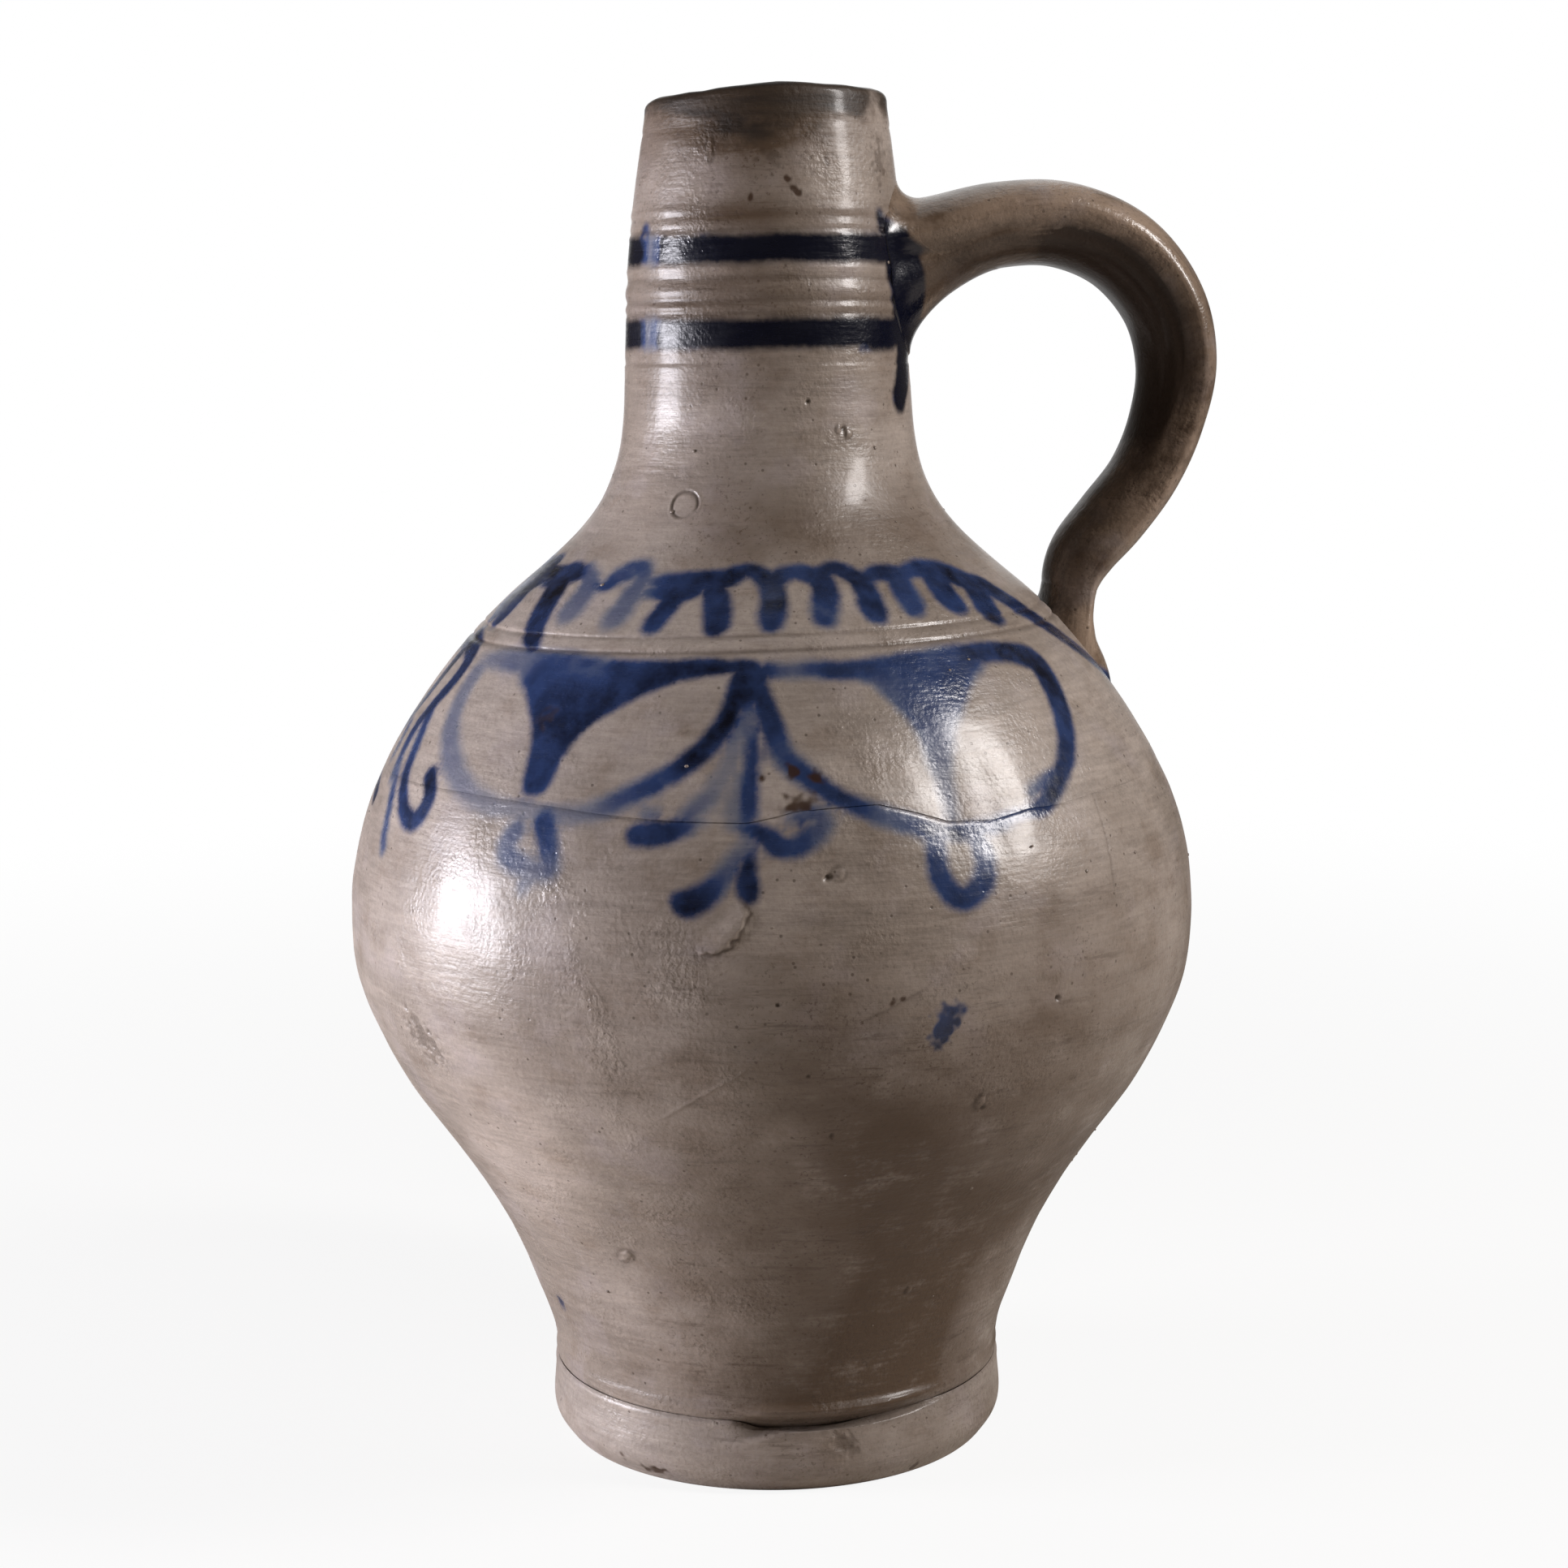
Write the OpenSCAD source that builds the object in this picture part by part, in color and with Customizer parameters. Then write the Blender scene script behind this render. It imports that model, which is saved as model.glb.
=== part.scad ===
// Stoneware crock jug with one pulled handle.
// The base stands on z = 0, the body turns about z and the handle reaches toward +x.
// Every size is in millimetres.

/* [Body] */
// Height from the table to the top of the rim
jug_h = 300; // [285:1:320]
// Greatest diameter of the belly
belly_d = 189.4; // [178:0.2:200]
// Height of the greatest diameter above the table
belly_z = 120; // [114:1:126]
// Diameter of the neck just above the shoulder
neck_d = 63.4; // [58:0.2:68]
// Length of the neck, from the top of the rim down to the shoulder
neck_len = 62; // [56:1:68]
// Outside diameter just under the rim
rim_d = 53.3; // [50:0.1:56]
// Diameter of the straight bore in the mouth
mouth_d = 40; // [36:0.5:42]
// Length of the straight bore in the mouth
mouth_len = 21; // [16:1:26]
// Wall thickness, square to the surface
wall_t = 6; // [5:0.25:7]
// Thickness of the base
base_t = 9; // [7:0.5:11]

/* [Foot] */
// Diameter of the narrow waist above the foot band
waist_d = 101.5; // [96:0.5:106]
// Height of the waist, where the foot band is lapped on
waist_z = 18; // [16:0.5:20]
// Amount the foot band stands out beyond the waist
foot_proud = 0.9; // [0.6:0.1:2]
// Thickness of the foot band where it meets the table
foot_band_t = 4; // [3:0.25:5]
// Depth of the crease between the foot band and the body
crease_depth = 0.9; // [0.5:0.1:1.4]
// Width of the gap where the lapped edge of the foot band has lifted
lap_gap = 1.8; // [1:0.1:2.5]
// Direction of that gap around the axis, in degrees from +x
lap_gap_az = -90; // [-110:1:-70]

/* [Seam] */
// Height of the seam between the two thrown sections, as a share of the shoulder from belly to neck
seam_share = 0.288; // [0.25:0.002:0.32]
// Amount the upper section stands proud of the lower one at the seam
seam_proud = 0.5; // [0.3:0.1:0.8]
// Height over which the proud edge dies away
seam_fade = 7; // [5:0.5:10]
// Rise of the seam from the outside to the inside of the wall
seam_rise = 3; // [2:0.25:4]

/* [Turned lines] */
// Depth of a groove turned in the neck
neck_line_depth = 0.5; // [0.3:0.05:0.7]
// Depth of a line scratched round the shoulder
shoulder_line_depth = 0.35; // [0.25:0.05:0.5]
// Radius of the tool tip that turned the neck grooves
neck_tool_r = 1.5; // [1.2:0.1:2]
// Radius of the point that scratched the shoulder lines
shoulder_tool_r = 0.8; // [0.6:0.05:1]

/* [Handle] */
// Distance from the axis to the middle of the strap at its farthest
handle_reach = 92.8; // [88:0.2:98]
// Drop from the top of the rim to that farthest point
reach_drop = 59.7; // [56:0.1:64]
// Drop from the top of the rim to the middle of the strap at the top of the arch
arch_drop = 28.1; // [25:0.1:31]
// Drop from the top of the rim to where the middle of the strap leaves the neck
root_drop = 33.8; // [32:0.1:36.5]
// Height at which the middle of the strap meets the shoulder, as a share from belly to neck
tail_share = 0.542; // [0.52:0.002:0.56]
// Width of the strap at the arch
strap_w = 30; // [27:0.5:32]
// Thickness of the strap at the arch
strap_t = 19; // [17:0.25:20]
// Clay spread below the strap where it is luted to the neck
root_spread = 10; // [8:0.25:11]
// Clay pressed down the shoulder under the end of the strap
tail_spread = 8; // [7:0.25:9]

/* [Hidden] */

$fn = 96;
belly_r = belly_d / 2;
neck_r = neck_d / 2;
rim_r = rim_d / 2;
mouth_r = mouth_d / 2;
waist_r = waist_d / 2;
foot_r = waist_r + foot_proud;
neck_z = jug_h - neck_len;
seam_z = belly_z + seam_share * (neck_z - belly_z);
reach_z = jug_h - reach_drop;
arch_z = jug_h - arch_drop;
root_z = jug_h - root_drop;
tail_z = belly_z + tail_share * (neck_z - belly_z);
over = jug_h / 100;
lip_r = (rim_r - mouth_r) / 2;
bore_top_z = jug_h - lip_r;
bore_z = bore_top_z - mouth_len;

// Height share from the waist to the belly, with the share of the swelling
belly_shares = [
    [0, 0],
    [0.078, 0.026],
    [0.176, 0.106],
    [0.294, 0.215],
    [0.412, 0.362],
    [0.529, 0.542],
    [0.647, 0.733],
    [0.765, 0.876],
    [0.882, 0.973],
    [1, 1]
];
// Height share from the belly to the neck, with the share of the swelling left
shoulder_shares = [
    [0.102, 0.986],
    [0.203, 0.938],
    [0.305, 0.851],
    [0.407, 0.735],
    [0.508, 0.591],
    [0.593, 0.439],
    [0.661, 0.290],
    [0.729, 0.155],
    [0.797, 0.070],
    [0.881, 0.020],
    [1, 0]
];
// Height share from the neck to the lip, with the share of the taper left
neck_shares = [
    [0.310, 0.846],
    [0.552, 0.627],
    [0.793, 0.296],
    [1, 0]
];
// Height share inside the foot band, with its bulge beyond the waist as a share of that bulge
foot_shares = [
    [0.17, -0.2],
    [0.28, 0.75],
    [0.42, 1],
    [0.62, 0.72],
    [0.76, 0.42]
];
// Radius share of the foot band where it meets the table
foot_edge_share = 0.922;
// Height share of the top of the foot band and of its inner seat
band_top_share = 0.915;
band_seat_share = 0.55;

// Heights of the neck grooves as shares from the neck to the lip, with their depth shares
neck_line_shares = [
    [0.058, 0.6],
    [0.239, 0.6],
    [0.285, 1],
    [0.358, 1],
    [0.529, 0.9],
    [0.580, 0.7]
];
// Heights of the shoulder lines as shares from the belly to the neck
shoulder_line_shares = [0.544, 0.568];

// Handle from the neck to the arch: share of the reach, share of the rise,
// then width and thickness as shares of the strap
root_path_shares = [
    [-0.137, -0.30, 1.10, 1.10],
    [0.016, 0, 1.08, 1.09],
    [0.136, 0.333, 1.06, 1.06],
    [0.346, 0.895, 1.02, 1.01]
];
// Handle from the arch to its farthest point, in the same way
arch_path_shares = [
    [0.576, 0.981, 1.00, 1.00],
    [0.796, 0.794, 1.00, 0.98],
    [0.949, 0.427, 0.99, 0.92],
    [1, 0, 0.98, 0.86]
];
// Handle from its farthest point to the shoulder, in the same way
lower_path_shares = [
    [0.916, 0.769, 0.95, 0.79],
    [0.735, 0.565, 0.92, 0.76],
    [0.469, 0.394, 0.89, 0.78],
    [0.240, 0.266, 0.86, 0.73],
    [0.124, 0.158, 0.84, 0.61],
    [0.098, 0.044, 0.85, 0.45],
    [0.080, -0.071, 0.84, 0.41],
    [0.069, -0.187, 0.80, 0.38],
    [0.062, -0.302, 0.76, 0.36]
];
// Growth of the upper luting over the strap, ring by ring: outer face, inner face, sides
root_growth_shares = [
    [0.90, 1.38, 0.80],
    [0.80, 1.20, 0.50],
    [0.65, 0.78, 0.32],
    [0.45, 0.45, 0.20],
    [0.13, 0.30, 0.13],
    [0.09, 0.20, 0.09],
    [0.05, 0.14, 0.06],
    [0.04, 0.07, 0.04],
    [0.04, 0.04, 0.04]
];
// Growth of the lower luting over the strap, ring by ring: outer face, inner face, sides
tail_growth_shares = [
    [0.04, 0.04, 0.04],
    [0.05, 0.08, 0.05],
    [0.05, 0.20, 0.09],
    [0.06, 0.40, 0.14],
    [0.10, 0.55, 0.20],
    [0.19, 0.60, 0.26],
    [0.29, 0.60, 0.30],
    [0.45, 0.60, 0.33],
    [0.62, 0.60, 0.33],
    [0.76, 0.60, 0.28],
    [0.88, 0.60, 0.20],
    [0.96, 0.60, 0.12],
    [0.96, 0.60, 0.08]
];
strap_sides = 24;
path_steps = 3;
// Exponents of the section: a plain ellipse outside and a flatter curve inside
outer_power = 1;
inner_power = 0.78;

// Smooth curve through four neighbouring stations
function blend(a, b, c, d, t) =
    0.5 * (2 * b + (c - a) * t + (2 * a - 5 * b + 4 * c - d) * t * t + (3 * b - a - 3 * c + d) * t * t * t);

// Station i of a list, held at its ends
function held(p, i) = p[max(0, min(len(p) - 1, i))];

// A list of stations with steps - 1 points added between each pair
function refined(p, steps) = concat(
    [
        for (i = [0 : len(p) - 2])
            for (k = [0 : steps - 1])
                blend(held(p, i - 1), p[i], p[i + 1], held(p, i + 2), k / steps)
    ],
    [p[len(p) - 1]]
);

// Outside of the body as [radius, height], from the waist to the start of the lip
body_stations = concat(
    [for (s = belly_shares) [waist_r + s[1] * (belly_r - waist_r), waist_z + s[0] * (belly_z - waist_z)]],
    [for (s = shoulder_shares) [neck_r + s[1] * (belly_r - neck_r), belly_z + s[0] * (neck_z - belly_z)]],
    [for (s = neck_shares) [rim_r + s[1] * (neck_r - rim_r), neck_z + s[0] * (bore_top_z - neck_z)]]
);
body_line = refined(body_stations, 2);
body_table = [for (p = body_line) [p[1], p[0]]];
body_last = len(body_line) - 1;

// Outside radius of the body at a height
function body_r(z) = lookup(z, body_table);

// Part of a line between two heights, ends left out
function between(line, low, high) = [for (p = line) if (p[1] > low && p[1] < high) p];

// Inside of the wall, set in square to the outside
function inward(i) =
    let (d = body_line[min(body_last, i + 1)] - body_line[max(0, i - 1)])
    body_line[i] - wall_t * [d[1], -d[0]] / norm(d);
wall_line = [for (i = [0 : body_last]) inward(i)];
wall_table = [for (p = wall_line) [p[1], p[0]]];

// Inside radius of the body at a height
function wall_r(z) = lookup(z, wall_table);

// List in the opposite order
function backward(p) = [for (i = [len(p) - 1 : -1 : 0]) p[i]];

// Seam between the sections, from its outer edge to its inner edge
seam_out = [body_r(seam_z), seam_z];
seam_in = [wall_r(seam_z + seam_rise), seam_z + seam_rise];

// Foot band and the seat that it is lapped on
core_r = foot_r * foot_edge_share - foot_band_t;
band_top_z = waist_z * band_top_share;
band_seat_z = waist_z * band_seat_share;
crease_in = [waist_r - crease_depth, band_top_z];
floor_in = [core_r - wall_t / 2, base_t];
floor_corner = [wall_r(waist_z) - wall_t / 3, base_t + wall_t / 2];

// Solid bounded by the outside of the body, used to seat the handle and its luting
module body_core() {
    rotate_extrude()
        polygon(concat([[0, waist_z]], body_line, [[0, bore_top_z]]));
}

// One groove or scratched line round the body
module turned_line(z, tool_r, depth) {
    rotate_extrude()
        translate([body_r(z) + tool_r - depth, z])
            circle(r = tool_r, $fn = 24);
}

// Thrown lower section: base, seat for the foot band and belly up to the seam
module lower_body() {
    color("#9a8d80")
        rotate_extrude()
            polygon(concat(
                [[0, 0], [core_r, 0], [core_r, band_seat_z], crease_in],
                between(body_line, waist_z - crease_depth, seam_z),
                [seam_out, seam_in],
                backward(between(wall_line, waist_z, seam_in[1])),
                [floor_corner, floor_in, [0, base_t]]
            ));
}

// Thrown upper section: shoulder, neck, lip and the straight bore of the mouth
module upper_body() {
    lip_steps = 8;
    lip_mid = mouth_r + lip_r;
    color("#a39686")
        difference() {
            rotate_extrude()
                polygon(concat(
                    [seam_out + [seam_proud, 0]],
                    between(body_line, seam_z + seam_fade, bore_top_z),
                    [
                        for (k = [0 : lip_steps])
                            let (a = 180 * k / lip_steps)
                            [lip_mid + lip_r * cos(a), bore_top_z + lip_r * sin(a)]
                    ],
                    [[mouth_r, bore_z]],
                    backward(between(wall_line, seam_in[1], bore_z - wall_t)),
                    [seam_in, seam_out]
                ));
            for (s = neck_line_shares)
                turned_line(neck_z + s[0] * (bore_top_z - neck_z), neck_tool_r, s[1] * neck_line_depth);
            for (s = shoulder_line_shares)
                turned_line(belly_z + s * (neck_z - belly_z), shoulder_tool_r, shoulder_line_depth);
        }
}

// Clay band lapped round the base, with the gap where its edge has lifted
module foot_band() {
    tilt = atan(lap_gap / foot_r);
    color("#8f8377")
        difference() {
            rotate_extrude()
                polygon(concat(
                    [[core_r, 0], [foot_r * foot_edge_share, 0]],
                    [for (s = foot_shares) [waist_r + s[1] * (foot_r - waist_r), waist_z * s[0]]],
                    [crease_in, [core_r, band_seat_z]]
                ));
            translate([0, 0, band_top_z])
                rotate([0, 0, lap_gap_az])
                    rotate([0, tilt, 0])
                        rotate_extrude()
                            polygon([
                                [waist_r - 3 * crease_depth, 0],
                                [foot_r + over, -lap_gap / 3],
                                [foot_r + over, lap_gap],
                                [waist_r - 3 * crease_depth, lap_gap]
                            ]);
        }
}

// Middle line of the strap as [x, z, half width, half thickness], from a table of shares
root_x = body_r(root_z);
tail_x = body_r(tail_z);
function stations(shares, x, low, high) = [
    for (s = shares)
        [
            x + s[0] * (handle_reach - x),
            low + s[1] * (high - low),
            s[2] * strap_w / 2,
            s[3] * strap_t / 2
        ]
];
strap_stations = concat(
    stations(root_path_shares, root_x, root_z, arch_z),
    stations(arch_path_shares, root_x, reach_z, arch_z),
    stations(lower_path_shares, tail_x, tail_z, reach_z)
);
strap_line = refined(strap_stations, path_steps);
strap_last = len(strap_line) - 1;

// Power that keeps its sign, for the flattened ellipse of the section
function bent(v, p) = sign(v) * pow(abs(v), p);

// Ring i of the strap, grown by [outer, inner, side]
function ring(i, grow) =
    let (
        s = strap_line[i],
        d = strap_line[min(strap_last, i + 1)] - strap_line[max(0, i - 1)],
        n = [-d[1], d[0]] / norm([d[0], d[1]])
    )
    [
        for (k = [0 : strap_sides - 1])
            let (
                a = 360 * k / strap_sides,
                p = sin(a) < 0 ? inner_power : outer_power,
                rise = (s[3] + (sin(a) < 0 ? grow[1] : grow[0])) * bent(sin(a), p),
                side = (s[2] + grow[2]) * bent(cos(a), p)
            )
            [s[0] + rise * n[0], side, s[1] + rise * n[1]]
    ];

// Triangles that join rings i and i + 1 of a loft whose points start at base
function skin(base, i, out) = [
    for (k = [0 : strap_sides - 1])
        let (
            a = base + i * strap_sides + k,
            b = base + i * strap_sides + (k + 1) % strap_sides
        )
        each out ?
            [[a, b, b + strap_sides], [a, b + strap_sides, a + strap_sides]] :
            [[b, a, b + strap_sides], [b + strap_sides, a, a + strap_sides]]
];

// Triangles that close the ring between two loops of points
function rim_between(outer, inner, up) = [
    for (k = [0 : strap_sides - 1])
        let (
            m = (k + 1) % strap_sides,
            a = outer + k,
            b = outer + m,
            c = inner + k,
            d = inner + m
        )
        each up ? [[a, c, d], [a, d, b]] : [[a, d, c], [a, b, d]]
];

// Sleeve of clay round the strap: its inside is the strap's own surface
module sleeve(first, growth, spread) {
    count = len(growth);
    outer = [for (i = [0 : count - 1]) each ring(first + i, spread * growth[i])];
    inner = [for (i = [0 : count - 1]) each ring(first + i, [0, 0, 0])];
    size = count * strap_sides;
    polyhedron(
        points = concat(outer, inner),
        faces = concat(
            [for (i = [0 : count - 2]) each skin(0, i, true)],
            [for (i = [0 : count - 2]) each skin(size, i, false)],
            rim_between(0, size, false),
            rim_between(size - strap_sides, 2 * size - strap_sides, true)
        )
    );
}

// Pulled strap handle, seated on the neck and on the shoulder
module handle() {
    last = strap_last * strap_sides;
    color("#8a7a6a")
        difference() {
            polyhedron(
                points = [for (i = [0 : strap_last]) each ring(i, [0, 0, 0])],
                faces = concat(
                    [for (i = [0 : strap_last - 1]) each skin(0, i, true)],
                    [[for (k = [strap_sides - 1 : -1 : 0]) k]],
                    [[for (k = [0 : strap_sides - 1]) last + k]]
                )
            );
            body_core();
        }
}

// Clay worked round the root of the handle on the neck
module upper_luting() {
    color("#93877b")
        difference() {
            sleeve(0, root_growth_shares, root_spread);
            body_core();
        }
}

// Clay pressed down round the end of the handle on the shoulder
module lower_luting() {
    color("#93877b")
        difference() {
            sleeve(strap_last + 1 - len(tail_growth_shares), tail_growth_shares, tail_spread);
            body_core();
        }
}

lower_body();
upper_body();
foot_band();
handle();
upper_luting();
lower_luting();
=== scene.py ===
"""Looks of a salt-glazed stoneware crock jug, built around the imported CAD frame.

Sizes in the classes are millimetres. Meshes and materials are in metres, in the frame's own axes.
Azimuth is measured in degrees about the jug's axis from +X, where the handle is.
"""

import logging
import math
from dataclasses import dataclass, field
from enum import Enum
from typing import Any, Callable, Iterable, Optional, Sequence

import bmesh
import bpy
import numpy as np
from mathutils import Matrix, Vector


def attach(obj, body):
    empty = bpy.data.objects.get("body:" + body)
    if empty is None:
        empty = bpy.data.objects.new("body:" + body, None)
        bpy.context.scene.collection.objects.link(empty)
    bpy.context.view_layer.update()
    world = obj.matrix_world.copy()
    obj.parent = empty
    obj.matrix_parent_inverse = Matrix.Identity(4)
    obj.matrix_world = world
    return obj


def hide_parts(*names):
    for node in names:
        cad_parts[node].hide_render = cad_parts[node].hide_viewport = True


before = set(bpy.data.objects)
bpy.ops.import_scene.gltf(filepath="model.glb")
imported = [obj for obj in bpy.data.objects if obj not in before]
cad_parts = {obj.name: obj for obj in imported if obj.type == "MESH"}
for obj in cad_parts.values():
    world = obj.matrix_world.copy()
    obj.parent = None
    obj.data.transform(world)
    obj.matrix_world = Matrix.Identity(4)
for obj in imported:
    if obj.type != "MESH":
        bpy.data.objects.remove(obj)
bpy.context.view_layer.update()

log = logging.getLogger("crock_jug")

MM = 0.001
FAR = 9.0
BODY = "root"

Line = np.ndarray
Stations = tuple[tuple[float, ...], ...]


class ClaySlot(Enum):
    """Names of the record's material slots, one for each kind of piece."""

    LOWER = "lower_clay"
    UPPER = "upper_clay"
    FOOT = "foot_clay"
    HANDLE = "handle_clay"
    LUTING = "luting_clay"


class MarkKind(Enum):
    """Small accidents of making, firing and use on the jug's surface."""

    RING = "impressed ring"
    PIT = "pit"
    SCAR = "raised scar"
    CRUMB = "stuck crumb"
    RUST = "iron spot"
    BLOT = "stray drop of cobalt"
    SMUDGE = "grey smudge"
    SCRATCH = "long scratch"


def linear(hex_code: str) -> tuple[float, float, float, float]:
    """Turn an sRGB hex colour into linear RGBA.

    Args:
        hex_code: Six hex digits, with or without a leading hash.

    Returns:
        Linear red, green, blue and an alpha of one.
    """
    digits = hex_code.lstrip("#")
    channels = [int(digits[i : i + 2], 16) / 255 for i in (0, 2, 4)]
    low = [c / 12.92 if c <= 0.04045 else ((c + 0.055) / 1.055) ** 2.4 for c in channels]
    return (low[0], low[1], low[2], 1.0)


def ease(low: float, high: float, value: Any) -> Any:
    """Smooth step from 0 at low to 1 at high, for numbers and arrays.

    Args:
        low: Value at which the step starts.
        high: Value at which the step ends. It may lie below low.
        value: Number or array to grade.

    Returns:
        The eased share, between 0 and 1.
    """
    t = np.clip((np.asarray(value, float) - low) / (high - low), 0.0, 1.0)
    return t * t * (3 - 2 * t)


def turn(az: Any) -> Any:
    """Wrap an angle in degrees into the range from -180 to 180."""
    return (np.asarray(az, float) + 180.0) % 360.0 - 180.0


def hump(value: Any, centre: float, width: float) -> Any:
    """Bell curve of height 1 around centre, with width as its standard deviation."""
    return np.exp(-(((np.asarray(value, float) - centre) / width) ** 2) / 2)


def spline(points: np.ndarray, steps: int) -> np.ndarray:
    """Refine a list of stations with a smooth curve through all of them.

    Args:
        points: One row per station, any number of columns.
        steps: Number of pieces that each interval is cut into.

    Returns:
        The refined rows, first and last stations included.
    """
    p = np.vstack([points[:1], points, points[-1:]])
    t = np.linspace(0, 1, steps, endpoint=False)[:, None]
    rows = []
    for a, b, c, d in zip(p[:-3], p[1:-2], p[2:-1], p[3:]):
        rows.append(0.5 * (2 * b + (c - a) * t + (2 * a - 5 * b + 4 * c - d) * t**2 + (3 * b - a - 3 * c + d) * t**3))
    return np.vstack([*rows, points[-1:]])


def spaced(line: np.ndarray, spacing: float) -> np.ndarray:
    """Resample a line of [radius, height] at an even spacing in millimetres."""
    run = np.concatenate([[0], np.cumsum(np.hypot(*np.diff(line, axis=0).T))])
    at = np.linspace(0, run[-1], max(2, round(run[-1] / spacing) + 1))
    return np.stack([np.interp(at, run, line[:, i]) for i in range(line.shape[1])], 1)


class ClayNoise:
    """Smooth repeatable unevenness, as a sum of plane waves in random directions."""

    def __init__(self, seed: int, size: float, waves: int = 28) -> None:
        """Draw the waves.

        Args:
            seed: Seed of the random draw.
            size: Typical distance between two swellings, in millimetres.
            waves: Number of waves in the sum.
        """
        draw = np.random.default_rng(seed)
        way = draw.normal(size=(waves, 3))
        way /= np.linalg.norm(way, axis=1)[:, None]
        self.waves = way * (2 * math.pi / size) * draw.uniform(0.6, 1.6, (waves, 1))
        self.phase = draw.uniform(0, 2 * math.pi, waves)

    def at(self, co: np.ndarray) -> np.ndarray:
        """Value at each point, mostly between -1 and 1.

        Args:
            co: Points in millimetres, one row each.

        Returns:
            One value per point.
        """
        total = np.zeros(len(co))
        for wave, phase in zip(self.waves, self.phase):
            total += np.sin(co @ wave + phase)
        return total / math.sqrt(len(self.phase) / 2) / 1.6


def points_of(mesh: bpy.types.Mesh) -> np.ndarray:
    """Vertices of a mesh in millimetres, one row each."""
    co = np.empty(len(mesh.vertices) * 3)
    mesh.vertices.foreach_get("co", co)
    return co.reshape(-1, 3) / MM


def move_points(mesh: bpy.types.Mesh, co: np.ndarray) -> None:
    """Put a mesh's vertices at new places, given in millimetres."""
    mesh.vertices.foreach_set("co", (co * MM).ravel())
    mesh.update()


def store(mesh: bpy.types.Mesh, name: str, values: np.ndarray) -> None:
    """Keep one number or one vector per vertex under a name that materials can read."""
    single = values.ndim == 1
    layer = mesh.attributes.new(name, "FLOAT" if single else "FLOAT_VECTOR", "POINT")
    layer.data.foreach_set("value" if single else "vector", np.ascontiguousarray(values, np.float32).ravel())


def closed_outward(mesh: bpy.types.Mesh) -> None:
    """Merge doubles, turn every face outward and shade the mesh smooth."""
    bm = bmesh.new()
    bm.from_mesh(mesh)
    bmesh.ops.remove_doubles(bm, verts=bm.verts, dist=1e-7)
    bmesh.ops.recalc_face_normals(bm, faces=bm.faces)
    if bm.calc_volume(signed=True) < 0:
        bmesh.ops.reverse_faces(bm, faces=bm.faces)
    open_edges = sum(1 for e in bm.edges if not e.is_manifold)
    if open_edges:
        log.warning("%s has %d open edges", mesh.name, open_edges)
    bm.to_mesh(mesh)
    bm.free()
    mesh.shade_smooth()


def loft(name: str, rings: np.ndarray, tube: bool = False) -> bpy.types.Mesh:
    """Skin a stack of equal closed rings.

    Args:
        name: Name of the new mesh.
        rings: Rings, points and coordinates, in millimetres.
        tube: Join the last ring to the first instead of capping the ends.

    Returns:
        A closed mesh.
    """
    count, sides, _ = rings.shape
    faces: list[tuple[int, ...]] = []
    for i in range(count if tube else count - 1):
        a, b = i * sides, ((i + 1) % count) * sides
        faces += [(a + k, a + (k + 1) % sides, b + (k + 1) % sides, b + k) for k in range(sides)]
    if not tube:
        faces.append(tuple(reversed(range(sides))))
        faces.append(tuple(range((count - 1) * sides, count * sides)))
    mesh = bpy.data.meshes.new(name)
    mesh.from_pydata((rings.reshape(-1, 3) * MM).tolist(), [], faces)
    closed_outward(mesh)
    return mesh


def refine_near(mesh: bpy.types.Mesh, spots: Sequence[tuple[np.ndarray, float]], cuts: int) -> None:
    """Cut the faces around some spots into smaller ones.

    Args:
        mesh: Mesh to refine.
        spots: Centre and radius of each spot, in millimetres.
        cuts: Number of cuts across each edge.
    """
    co = points_of(mesh)
    near = np.zeros(len(co), bool)
    for centre, radius in spots:
        near |= np.linalg.norm(co - centre, axis=1) < radius
    bm = bmesh.new()
    bm.from_mesh(mesh)
    bm.verts.ensure_lookup_table()
    edges = [e for e in bm.edges if near[e.verts[0].index] and near[e.verts[1].index]]
    bmesh.ops.subdivide_edges(bm, edges=edges, cuts=cuts, use_grid_fill=True)
    loose = [f for f in bm.faces if len(f.verts) > 4]
    bmesh.ops.triangulate(bm, faces=loose)
    bm.to_mesh(mesh)
    bm.free()


def add_node(
    tree: bpy.types.NodeTree,
    kind: str,
    inputs: Optional[dict[Any, Any]] = None,
    **settings: Any,
) -> bpy.types.Node:
    """Add a node, set its options, and fill or link its inputs.

    Args:
        tree: Node tree to add to.
        kind: Blender's type name of the node.
        inputs: Value or output socket for each input, by name or index.
        settings: Options of the node itself.

    Returns:
        The new node.
    """
    node = tree.nodes.new(kind)
    for name, value in settings.items():
        setattr(node, name, value)
    for key, value in (inputs or {}).items():
        if isinstance(value, bpy.types.NodeSocket):
            tree.links.new(value, node.inputs[key])
        else:
            node.inputs[key].default_value = value
    return node


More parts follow.
